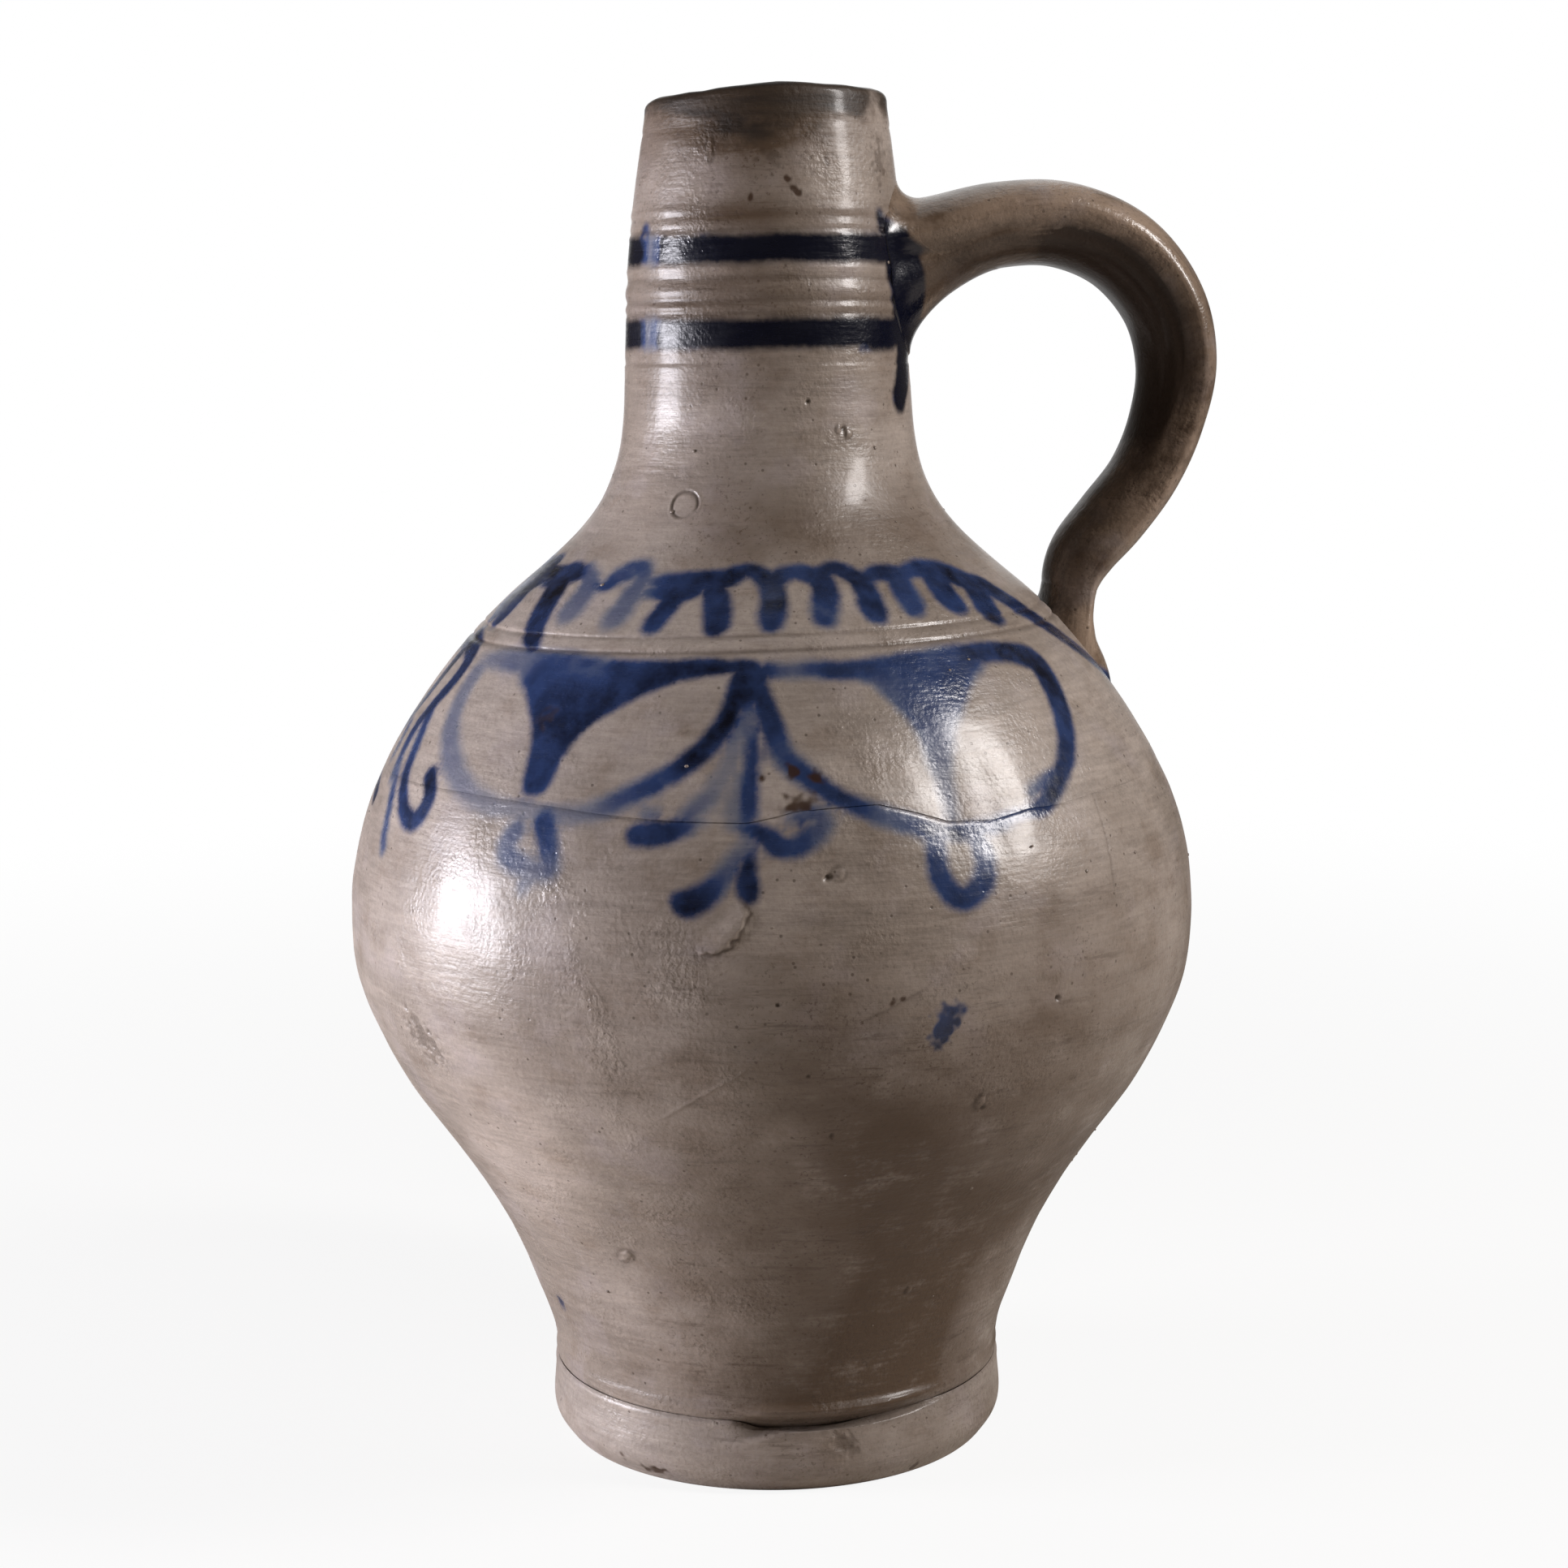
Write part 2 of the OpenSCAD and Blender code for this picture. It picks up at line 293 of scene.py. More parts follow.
@dataclass(frozen=True)
class JugProfile:
    """Outline of the thrown jug, with the same sizes and shares as the CAD part."""

    jug_h: float = 300.0
    belly_r: float = 94.7
    belly_z: float = 120.0
    neck_r: float = 31.7
    neck_z: float = 238.0
    rim_r: float = 26.65
    mouth_r: float = 20.0
    mouth_len: float = 21.0
    wall: float = 6.0
    base: float = 9.0
    waist_r: float = 50.75
    waist_z: float = 18.0
    foot_r: float = 51.65
    foot_band: float = 4.0
    foot_edge_share: float = 0.922
    band_top_share: float = 0.915
    band_seat_share: float = 0.55
    crease: float = 0.9
    seam_z: float = 153.984
    seam_rise: float = 3.0
    play: float = 0.12  # kept inside the CAD's greatest radius, for the unevenness of the clay
    belly_shares: Stations = (
        (0, 0), (0.078, 0.026), (0.176, 0.106), (0.294, 0.215), (0.412, 0.362),
        (0.529, 0.542), (0.647, 0.733), (0.765, 0.876), (0.882, 0.973), (1, 1),
    )  # fmt: skip
    shoulder_shares: Stations = (
        (0.102, 0.986), (0.203, 0.938), (0.305, 0.851), (0.407, 0.735), (0.508, 0.591), (0.593, 0.439),
        (0.661, 0.290), (0.729, 0.155), (0.797, 0.070), (0.881, 0.020), (1, 0),
    )  # fmt: skip
    neck_shares: Stations = ((0.310, 0.846), (0.552, 0.627), (0.793, 0.296), (1, 0))
    foot_shares: Stations = ((0.17, -0.2), (0.28, 0.75), (0.42, 1), (0.62, 0.72), (0.76, 0.42))

    @property
    def lip_r(self) -> float:
        """Radius of the rounded lip."""
        return (self.rim_r - self.mouth_r) / 2

    @property
    def lip_z(self) -> float:
        """Height at which the lip starts to round over."""
        return self.jug_h - self.lip_r

    @property
    def core_r(self) -> float:
        """Inside radius of the foot band."""
        return self.foot_r * self.foot_edge_share - self.foot_band

    @property
    def band_top(self) -> tuple[float, float]:
        """Bottom of the crease above the foot band, as radius and height."""
        return self.waist_r - self.crease, self.waist_z * self.band_top_share

    def body_line(self) -> Line:
        """Outside of the body from the waist to the lip, as rows of radius and height."""
        part = lambda shares, r0, r1, z0, z1: [(r0 + s * (r1 - r0), z0 + a * (z1 - z0)) for a, s in shares]
        rows = (
            part(self.belly_shares, self.waist_r, self.belly_r - self.play, self.waist_z, self.belly_z)
            + part(self.shoulder_shares, self.neck_r, self.belly_r - self.play, self.belly_z, self.neck_z)
            + part(self.neck_shares, self.rim_r, self.neck_r, self.neck_z, self.lip_z)
        )
        return spline(np.array(rows), 14)

    def band_line(self) -> Line:
        """Outside of the foot band from the table to the crease, as rows of radius and height."""
        edge_r = self.foot_r * self.foot_edge_share
        rows = [(edge_r + 0.35, 0.0), (edge_r + 1.1, 0.7)]
        rows += [(self.waist_r + s * (self.foot_r - self.waist_r), self.waist_z * a) for a, s in self.foot_shares]
        rows += [(self.waist_r - 0.1, self.waist_z * 0.86), self.band_top]
        return spline(np.array(rows), 10)

    def wall_line(self) -> Line:
        """Inside of the wall, set in square to the outside."""
        line = self.body_line()
        way = np.gradient(line, axis=0)
        way /= np.linalg.norm(way, axis=1)[:, None]
        return line - self.wall * np.stack([way[:, 1], -way[:, 0]], 1)

    def outside(self) -> Line:
        """Whole outside from the table to the lip."""
        body = self.body_line()
        return np.vstack([self.band_line(), body[body[:, 1] > self.waist_z]])


class Surface:
    """Outside of the jug as a surface to paint and press on."""

    def __init__(self, profile: JugProfile) -> None:
        """Measure the outline once.

        Args:
            profile: Outline of the jug.
        """
        line = profile.outside()
        order = np.argsort(line[:, 1], kind="stable")
        self.line = line[order]
        self.run = np.concatenate([[0], np.cumsum(np.hypot(*np.diff(self.line, axis=0).T))])

    def radius(self, z: Any) -> Any:
        """Outside radius at a height."""
        return np.interp(z, self.line[:, 1], self.line[:, 0])

    def length(self, z: Any) -> Any:
        """Distance along the outline from the table up to a height."""
        return np.interp(z, self.line[:, 1], self.run)

    def point(self, az: float, z: float) -> np.ndarray:
        """Point of the surface at an azimuth and a height."""
        r, a = float(self.radius(z)), math.radians(az)
        return np.array([r * math.cos(a), r * math.sin(a), z])

    def offsets(self, az: np.ndarray, z: np.ndarray, az0: Any, z0: Any) -> tuple[np.ndarray, np.ndarray]:
        """Distances round and along the surface from one place to others.

        Args:
            az: Azimuths of the points.
            z: Heights of the points.
            az0: Azimuth of the place.
            z0: Height of the place.

        Returns:
            Distance round the jug and distance along its outline, in millimetres.
        """
        mean_r = (self.radius(z) + self.radius(z0)) / 2
        return np.radians(turn(az - az0)) * mean_r, self.length(z) - self.length(z0)


@dataclass(frozen=True)
class Brushstroke:
    """One pull of the brush: rows of azimuth, height, half width and load of pigment."""

    rows: tuple[tuple[float, float, float, float], ...]

    def turned(self, by: float) -> "Brushstroke":
        """The same stroke, further round the jug."""
        return Brushstroke(tuple((az + by, z, w, c) for az, z, w, c in self.rows))

    def mirrored(self, about: float) -> "Brushstroke":
        """The same stroke, mirrored about an azimuth."""
        return Brushstroke(tuple((2 * about - az, z, w, c) for az, z, w, c in self.rows))

    def dabs(self, surface: Surface, spacing: float) -> np.ndarray:
        """Closely spaced dabs along the stroke.

        Args:
            surface: Surface that the stroke lies on.
            spacing: Distance between dabs, in millimetres.

        Returns:
            Rows of azimuth, height, half width and load.
        """
        rows = np.array(self.rows, float)
        if len(rows) > 2:
            rows = spline(rows, 6)
        across, along = surface.offsets(rows[1:, 0], rows[1:, 1], rows[:-1, 0], rows[:-1, 1])
        run = np.concatenate([[0], np.cumsum(np.hypot(across, along))])
        at = np.linspace(0, run[-1], max(2, math.ceil(run[-1] / spacing)))
        return np.stack([np.interp(at, run, rows[:, i]) for i in range(4)], 1)


@dataclass(frozen=True)
class Wash:
    """Area filled with the side of the brush: rows of azimuth, height and load round its outline."""

    rows: Stations

    def turned(self, by: float) -> "Wash":
        """The same area, further round the jug."""
        return Wash(tuple((az + by, z, c) for az, z, c in self.rows))

    def mirrored(self, about: float) -> "Wash":
        """The same area, mirrored about an azimuth."""
        return Wash(tuple((2 * about - az, z, c) for az, z, c in self.rows))

    def cover(self, surface: Surface, az: np.ndarray, z: np.ndarray) -> tuple[np.ndarray, np.ndarray, np.ndarray]:
        """Find the points in and near the area.

        Args:
            surface: Surface that the area lies on.
            az: Azimuths of all points.
            z: Heights of all points.

        Returns:
            Indices of the near points, their distance to the outline (negative inside) and their load.
        """
        rows = np.array(self.rows, float)
        mid_az, mid_z = rows[:, 0].mean(), rows[:, 1].mean()
        line = np.stack(surface.offsets(rows[:, 0], rows[:, 1], mid_az, mid_z), 1)
        spots = np.stack(surface.offsets(az, z, mid_az, mid_z), 1)
        low, high = line.min(0) - 6, line.max(0) + 6
        near = np.nonzero(((spots > low) & (spots < high)).all(1))[0]
        p = spots[near][:, None]
        a, b = line[None], np.roll(line, -1, 0)[None]
        run = b - a
        share = np.clip(((p - a) * run).sum(2) / (run**2).sum(2), 0, 1)
        gap = np.linalg.norm(p - a - share[..., None] * run, axis=2)
        above = (a[..., 1] > p[..., 1]) != (b[..., 1] > p[..., 1])
        rise = np.where(np.abs(run[..., 1]) < 1e-9, 1e-9, run[..., 1])
        crossed = above & (p[..., 0] < a[..., 0] + (p[..., 1] - a[..., 1]) / rise * run[..., 0])
        inside = crossed.sum(1) % 2 == 1
        pull = 1 / (np.linalg.norm(p - a, axis=2) ** 2 + 1)
        depth = (pull * rows[None, :, 2]).sum(1) / pull.sum(1)
        return near, np.where(inside, -gap.min(1), gap.min(1)), depth


@dataclass(frozen=True)
class Brushwork:
    """Traditional blue decoration: two neck bands, a looped collar and a frieze of hanging lobes."""

    neck_bands: tuple[tuple[float, float], ...] = ((265.35, 2.75), (247.7, 2.85))
    collar_step: float = 12.6
    front_joint: float = -101.2
    side_joint: float = -173.5
    back_joint: float = -245.8
    dab_spacing: float = 0.7
    full_load: float = 1.6
    collar_front: tuple[Stations, ...] = (
        ((-170.7, 198.7, 3, 1), (-180.2, 196.6, 3.4, 1), (-178.3, 194, 3.4, 0.9), (-176.4, 191.2, 3.4, 0.9),
         (-174, 188.4, 2.9, 0.9)),
        ((-167.6, 195.9, 3.4, 1), (-170.3, 194, 3.4, 0.9), (-169, 191.6, 2.9, 0.9), (-168.2, 188.6, 2.9, 0.85),
         (-168.5, 187.2, 2.2, 0.8)),
        ((-174, 197, 1.8, 1), (-160.6, 196.6, 3.4, 1), (-155.5, 197.6, 3.3, 1), (-150.8, 197.3, 1.6, 0.95)),
        ((-156.7, 196, 3.4, 1), (-154.3, 193.4, 3.4, 1), (-152.9, 190.9, 3.4, 1), (-149.8, 186.3, 2.8, 1),
         (-148.2, 184.5, 2.3, 0.95), (-146.8, 183, 1.8, 0.8)),
        ((-150.1, 198.5, 1.6, 0.4), (-145.7, 197, 1.8, 0.45), (-144.1, 195.1, 2.5, 0.45), (-143.4, 192.7, 3, 0.4),
         (-143.3, 190.8, 3, 0.38), (-143.3, 189.7, 2.1, 0.35)),
        ((-145.7, 197, 1.4, 0.5), (-140.2, 195.4, 1, 0.7), (-138, 196.1, 1.9, 0.7), (-137.2, 197.5, 2.5, 0.55),
         (-134.9, 198.6, 2.9, 0.55), (-132.3, 199.4, 2.4, 0.6), (-130, 198.9, 1.5, 0.55)),
        ((-129.7, 198.2, 2, 0.5), (-129.5, 196.4, 2.1, 0.45), (-129.9, 194.4, 2.4, 0.45), (-130, 192.2, 2.4, 0.42),
         (-130.5, 190.5, 2.8, 0.4), (-131.1, 189.4, 2.1, 0.35)),
        ((-127.6, 197.1, 1.3, 0.45), (-123.8, 196.8, 2.1, 0.6), (-119.6, 196.9, 2.7, 0.75), (-109, 197.7, 2.6, 1),
         (-106.2, 198.1, 1.9, 1)),
        ((-126.1, 195.1, 1.6, 0.55), (-122.6, 195, 2.1, 0.8), (-119.2, 195.1, 3, 0.95), (-116.1, 195.8, 3, 1)),
        ((-118.3, 194.8, 2.7, 0.95), (-119.4, 193.3, 2.4, 0.9), (-121, 189.8, 2.4, 0.8), (-121.4, 188.8, 2, 0.7)),
        ((-110.3, 195.5, 2.5, 1), (-109.2, 193.4, 2.8, 0.85), (-108.3, 190.1, 2.7, 0.85), (-108.5, 188.8, 2.3, 0.9)),
        ((-108.2, 198.1, 2.1, 1), (-106, 199, 1.8, 1), (-103.5, 199.5, 1.6, 1), (-100.7, 198.9, 1.9, 1),
         (-98.7, 197.6, 2.4, 1)),
        ((-97.4, 196.4, 2.5, 1), (-97, 194, 2.7, 1), (-97.2, 191.9, 2.8, 0.85), (-97.6, 190.4, 2.7, 0.7),
         (-97.7, 189.4, 2.1, 0.75)),
        ((-96, 197.9, 2.2, 0.85), (-93.3, 198.8, 2, 0.75), (-90.7, 198.9, 2.1, 0.75), (-88.1, 198.3, 2.3, 0.8)),
        ((-85.9, 197.2, 2.6, 0.85), (-85.5, 195.3, 2.6, 0.85), (-86.6, 191.7, 2.7, 0.6), (-86.9, 190.2, 2.2, 0.65)),
        ((-85.9, 198.4, 1.8, 0.9), (-83.1, 199.3, 1.7, 0.9), (-80.8, 199.4, 1.9, 0.95), (-77, 197.4, 2.4, 0.95)),
        ((-76, 196, 2.6, 0.9), (-76, 194, 2.7, 0.85), (-76.3, 192.2, 2.9, 0.8), (-76.1, 190.6, 2.4, 0.8)),
        ((-75.2, 197, 1.7, 0.85), (-71.9, 198.2, 1.8, 0.85), (-69.2, 198.2, 2.4, 0.95), (-66.3, 197.8, 2.6, 0.95)),
        ((-66.3, 196.2, 2.7, 0.8), (-66.5, 194.4, 3, 0.75), (-66.6, 192.5, 2.8, 0.75), (-67.1, 191.3, 2.2, 0.7)),
        ((-64.5, 197.7, 1.9, 0.85), (-60.4, 198.5, 2.1, 0.75), (-56.6, 198.3, 2.9, 0.8), (-53.5, 197.5, 3.4, 0.85)),
        ((-55.4, 196.2, 3.4, 0.9), (-56, 194.1, 3.4, 0.95), (-56.1, 192.7, 3.4, 0.9), (-55.6, 191.9, 3.2, 0.85)),
        ((-54.2, 198, 3, 0.85), (-49.9, 197.3, 3.4, 0.95), (-44.3, 195.1, 3.4, 0.95), (-41.8, 194.2, 3.4, 0.95)),
        ((-45.2, 193.5, 3.4, 0.95), (-46.5, 191.3, 3.4, 0.95), (-47, 189.9, 3.4, 0.95), (-46.7, 189, 3, 0.9)),
    )  # fmt: skip
    collar_end: Stations = (
        (-44.3, 195.1, 3, 0.95), (-40.8, 194.5, 3.1, 0.95), (-38.4, 192.6, 3.1, 0.95), (-32.5, 187.6, 2.8, 0.95),
        (-24.7, 181.4, 2.4, 0.9), (-18.1, 177, 2.3, 0.85), (-10.1, 171.8, 2.2, 0.9), (-2, 169.5, 1.4, 0.8),
    )  # fmt: skip
    left_lobe: tuple[Stations, ...] = (
        ((-104, 181.5, 1.4, 1), (-110, 181.3, 2, 1)),
        ((-102.7, 179.1, 2.3, 1), (-103.3, 175.8, 2.2, 1), (-104.1, 173.2, 2, 1), (-105.4, 169.9, 2.1, 1),
         (-108.9, 164.8, 2.1, 0.95), (-113.9, 160.2, 2, 0.65), (-118.8, 156.5, 2, 0.5), (-121.1, 154.8, 1.8, 0.42),
         (-123.6, 153.9, 1.7, 0.33), (-126.4, 153.3, 1.5, 0.27), (-129.6, 153.4, 1.3, 0.22), (-133, 153.5, 1.3, 0.2),
         (-139.7, 153.9, 1.9, 0.22), (-145.8, 156.8, 2.2, 0.3), (-151.6, 161.5, 2.4, 0.34),
         (-156.9, 167.8, 2.4, 0.34), (-158.8, 173.3, 2.4, 0.3), (-159.2, 177.5, 2.4, 0.3)),
        ((-129.2, 151.9, 2.4, 0.85), (-127.1, 143.5, 2.1, 0.45), (-129.7, 142.5, 2.1, 0.35),
         (-133.5, 144.3, 2.2, 0.5), (-134.3, 146.9, 2, 0.45), (-133.2, 150.1, 1.9, 0.45)),
        ((-130.2, 141.4, 1.3, 0.25), (-130.6, 139.2, 1.2, 0.35)),
    )  # fmt: skip
    stem: tuple[Stations, ...] = (
        ((-104, 181.5, 1.6, 1), (-101.7, 181.5, 1.7, 1), (-99.7, 180.3, 1.6, 1), (-100.8, 178.1, 2.4, 1),
         (-101.4, 176.1, 2.2, 1)),
        ((-101.2, 174.7, 1, 0.45), (-101, 170.7, 1.1, 0.5), (-100.8, 166.2, 1.3, 0.7), (-101, 158.1, 1.6, 0.75),
         (-101.2, 155.1, 1.8, 0.6), (-101.4, 153.7, 1.6, 0.6)),
        ((-102.5, 172.1, 0.8, 0.3), (-103.2, 168.1, 1, 0.35), (-103.7, 164.7, 1, 0.22), (-105.9, 158.4, 1.5, 0.3),
         (-107.5, 156, 1.7, 0.38), (-108.9, 154.4, 1.5, 0.42)),
        ((-102.6, 160.3, 1, 0.2), (-103.1, 154.8, 1.4, 0.28)),
        ((-115.6, 150.3, 2, 0.85), (-112.2, 150.7, 2.3, 0.9), (-107.3, 153.3, 1, 0.3)),
        ((-114.7, 154.5, 1, 0.3), (-113.8, 154.4, 1, 0.3)),
        ((-103.1, 152.6, 0.8, 0.35), (-101, 152, 1.3, 0.85), (-98.3, 150.2, 1.9, 0.9), (-97.4, 148.9, 2.1, 0.85),
         (-96.1, 148.3, 1.9, 0.8), (-94.5, 148.8, 1.9, 0.65), (-91.8, 151.7, 1.9, 0.48), (-91.5, 153.6, 1.8, 0.45),
         (-92.7, 154.7, 1.5, 0.5), (-95.3, 153.9, 1, 0.45)),
        ((-94.1, 152.7, 0.8, 0.8), (-93.7, 152.1, 0.8, 0.75)),
        ((-100.5, 147.7, 0.6, 0.8), (-100.9, 145.6, 1.3, 0.95), (-101, 141.4, 2.2, 1), (-100.8, 139.8, 1.7, 0.95)),
        ((-100.3, 148.6, 0.6, 0.35), (-102.3, 147.1, 1.1, 0.33), (-105, 141.2, 2.1, 0.6), (-107.9, 138.1, 2.7, 0.95),
         (-109.2, 138.2, 1.9, 0.85)),
        ((-115.3, 150.7, 1.9, 0.9), (-113, 150.9, 2.3, 0.95)),
        ((-101.2, 151.5, 1, 0.25), (-101.4, 147.5, 1, 0.28)),
    )  # fmt: skip
    right_lobe: tuple[Stations, ...] = (
        ((-98.5, 180.9, 1.6, 0.6), (-95.1, 180.7, 1.4, 0.45), (-91, 180.9, 1.8, 0.55), (-86.9, 180.5, 2, 0.75),
         (-82.6, 180.6, 2.1, 0.8), (-78.2, 181, 2.3, 0.7), (-73.5, 181.4, 2.3, 0.65), (-68.5, 181.7, 2.5, 0.65),
         (-63.1, 182, 2.5, 0.75), (-57.2, 182.2, 2.4, 0.9), (-52.2, 181.9, 2.4, 1), (-48.1, 181, 2.8, 1),
         (-44.8, 179.6, 3.4, 0.95), (-44.2, 176.7, 3.4, 0.95), (-45.8, 169.6, 2.9, 0.9), (-49.4, 162.1, 2.3, 0.85),
         (-51.6, 159.1, 2, 0.85), (-54, 156.6, 2.1, 0.9), (-56.3, 154.2, 2, 1), (-58.3, 152.5, 1.7, 1),
         (-60.4, 151.9, 1.3, 0.95), (-62.9, 151.7, 1.1, 0.85), (-65.2, 150.9, 1.3, 0.65), (-67.9, 150, 1.3, 0.55),
         (-71.1, 149.7, 1.5, 0.65), (-73.8, 149.7, 1.3, 0.8), (-76.3, 150.3, 1.5, 0.8)),
        ((-54.2, 158, 1.2, 0.75), (-59.6, 155.7, 1, 0.45)),
        ((-99.7, 177.3, 1.8, 1), (-98.7, 174, 2, 0.95), (-97.7, 170.2, 2.1, 0.85), (-96.6, 166.6, 2.1, 0.65),
         (-95.2, 163.9, 2.2, 0.6), (-90.3, 158.5, 1.9, 0.75), (-88.3, 156.9, 1.7, 0.8), (-86.2, 155.6, 1.7, 0.65),
         (-83.7, 153.9, 1.9, 0.55), (-81, 152.5, 1.9, 0.6), (-78.4, 151.1, 1.9, 0.65), (-76.3, 150.1, 1.5, 0.85)),
        ((-76.6, 148.8, 2.1, 0.75), (-76.9, 143.4, 2.1, 0.75), (-76, 139.2, 2.2, 0.8), (-73.6, 137.1, 2.1, 0.8),
         (-71.1, 139.7, 2.2, 0.72), (-69.9, 144.3, 2.1, 0.65), (-70.4, 147.8, 1.8, 0.6)),
        ((-76.6, 150.2, 1.5, 0.95), (-72.9, 149.4, 1.6, 0.95), (-69.4, 149.6, 1.4, 0.9)),
    )  # fmt: skip
    side_stem: tuple[Stations, ...] = (
        ((-174.1, 182.9, 3, 1), (-167.2, 180.1, 2.6, 1), (-166.1, 175.3, 2.4, 1), (-168.2, 170.1, 2.2, 0.9),
         (-170.4, 164.8, 2, 0.75), (-169.4, 158.5, 1.6, 0.6), (-168.6, 154.4, 1.4, 0.5)),
        ((-167.7, 168.8, 1.6, 0.6), (-164.7, 161.5, 1.8, 0.65), (-162.5, 154.9, 1.9, 0.8), (-159.3, 150, 2.1, 0.85),
         (-155.3, 147.7, 2.1, 0.85), (-152.9, 150.2, 2.1, 0.8), (-152.8, 153.9, 2.1, 0.9), (-154.7, 157, 2.2, 1)),
        ((-169.5, 159.2, 1.2, 0.5), (-165.1, 150.9, 1.3, 0.6), (-162.3, 140.9, 1.3, 0.5)),
        ((-179.8, 151.3, 1.9, 1), (-175.6, 148.6, 1.8, 1)),
        ((-176.9, 163.7, 1.6, 0.5), (-175.3, 158.1, 1.4, 0.4)),
    )  # fmt: skip
    root_daub: tuple[Stations, ...] = (
        ((-43, 272.4, 0.9, 1.4), (-33, 264, 4.4, 1.6), (-27, 254, 4.8, 1.6), (-25, 242, 4.7, 1.6),
         (-33.2, 234, 3.3, 1.5)),
        ((-17, 272, 0.6, 0.9), (-19, 265, 1.1, 0.95)),
        ((-58, 244.7, 0.6, 1.2), (-38, 245.2, 1.1, 1.2)),
    )  # fmt: skip

    # Filled funnels. Their low loads, paler blue where the lamps' highlights fall, are partly painted highlight over
    # the real wash.
    left_funnel: Stations = (
        (-161.1, 180.4, 0.25), (-154.9, 182, 0.3), (-148.9, 182.8, 0.35), (-133.9, 183, 0.5), (-129.1, 182.3, 0.55),
        (-120.9, 182.2, 0.75), (-107, 183, 1), (-104.1, 181.8, 1), (-104, 180.6, 1), (-112.7, 179, 0.95),
        (-119.1, 176.1, 0.95), (-126, 170.6, 0.95), (-127.8, 168.1, 0.95), (-129.5, 163.5, 1), (-129.9, 158.9, 0.95),
        (-130.5, 157.2, 0.9), (-132.4, 156.4, 0.9), (-133.8, 157, 0.9), (-134.4, 158.4, 0.9), (-135.3, 165.3, 0.95),
        (-136.8, 169, 0.9), (-141.4, 174.8, 0.75), (-146.4, 178.6, 0.4), (-156.9, 178.9, 0.3),
    )  # fmt: skip
    right_funnel: Stations = (
        (-85.6, 180, 0.75), (-81.1, 177.8, 0.4), (-76.6, 171.3, 0.6), (-75.5, 167.7, 0.6), (-74, 152.2, 0.4),
        (-72.6, 152, 0.35), (-72.2, 159.6, 0.35), (-71.2, 164, 0.45), (-69.2, 169.1, 0.5), (-64.3, 175.3, 0.8),
        (-61.7, 177.7, 0.5), (-58.6, 179.5, 0.6), (-59.9, 181.2, 0.7), (-73.3, 181.7, 0.7), (-82.5, 181.1, 0.8),
    )  # fmt: skip

    def bands(self) -> list[Brushstroke]:
        """Two bands round the neck, thin and pale at the front left, partly a dry brush and partly painted highlight,
        and thin at the back where the brush ran dry.
        """
        strokes = []
        for z, half in self.neck_bands:
            az = np.arange(-182.0, 182.1, 4.0)
            # Thinner, paler paint at the front left: partly a dry brush, partly painted highlight.
            dry_and_highlight = 0.95 * hump(az, -152.5, 4.5) + 0.5 * hump(az, 96.0, 9.0)
            sway = 0.12 * np.sin(np.radians(3 * az + z)) + 0.1 * np.sin(np.radians(11 * az))
            rows = zip(az, z + sway, half * (1 - 0.1 * dry_and_highlight), self.full_load * (1.0 - dry_and_highlight) + 0.1)
            strokes.append(Brushstroke(tuple((float(a), float(b), float(c), float(d)) for a, b, c, d in rows)))
        strokes.append(Brushstroke(((-161, 268.2, 0.5, 0.9), (-158.4, 270.0, 0.9, 0.9), (-156, 268.6, 0.6, 0.7))))
        return strokes

    def collar(self) -> list[Brushstroke]:
        """Garland round the shoulder. Its hidden part repeats the drops and arches of the front."""
        draw = np.random.default_rng(11)
        strokes = [Brushstroke(rows) for rows in self.collar_front]
        az = -180.0
        while az > -312:
            load, half = draw.uniform(0.55, 1.0), draw.uniform(2.1, 2.9)
            lean, after = draw.uniform(-1.5, 2.5), az - self.collar_step * draw.uniform(0.85, 1.12)
            drop = ((az, 197.2, half, load), (az + lean / 2, 193.5, half, load), (az + lean, 190.0, half * 0.9, load * 0.9))
            arch = ((az, 197.5, 2.0, load), ((2 * az + after) / 3, 199.3, 1.8, load),
                    ((az + 2 * after) / 3, 199.3, 1.8, load), (after, 197.5, 2.0, load))  # fmt: skip
            strokes += [Brushstroke(drop), Brushstroke(arch)]
            az = after
        end = Brushstroke(self.collar_end)
        return strokes + [end, end.mirrored(2.0)]

    def frieze(self) -> list[Brushstroke]:
        """Four lobes with hanging stems at their joints. The two at the back repeat the front."""
        left = [Brushstroke(s) for s in self.left_lobe]
        right = [Brushstroke(s) for s in self.right_lobe]
        stem = [Brushstroke(s) for s in self.stem]
        side = [Brushstroke(s) for s in self.side_stem]
        back = [s.turned(self.side_joint - self.front_joint) for s in left]
        rear_stem = [s.turned(self.back_joint - self.front_joint) for s in stem]
        mirror = (self.back_joint + self.front_joint) / 2
        return left + right + stem + side + back + rear_stem + [s.mirrored(mirror) for s in right]

    def washes(self) -> list[Wash]:
        """Filled funnels between the lobes."""
        left, right = Wash(self.left_funnel), Wash(self.right_funnel)
        mirror = (self.back_joint + self.front_joint) / 2
        return [left, right, left.turned(self.side_joint - self.front_joint), right.mirrored(mirror)]

    def strokes(self) -> list[Brushstroke]:
        """Every stroke on the jug."""
        return self.bands() + self.collar() + self.frieze() + [Brushstroke(s) for s in self.root_daub]

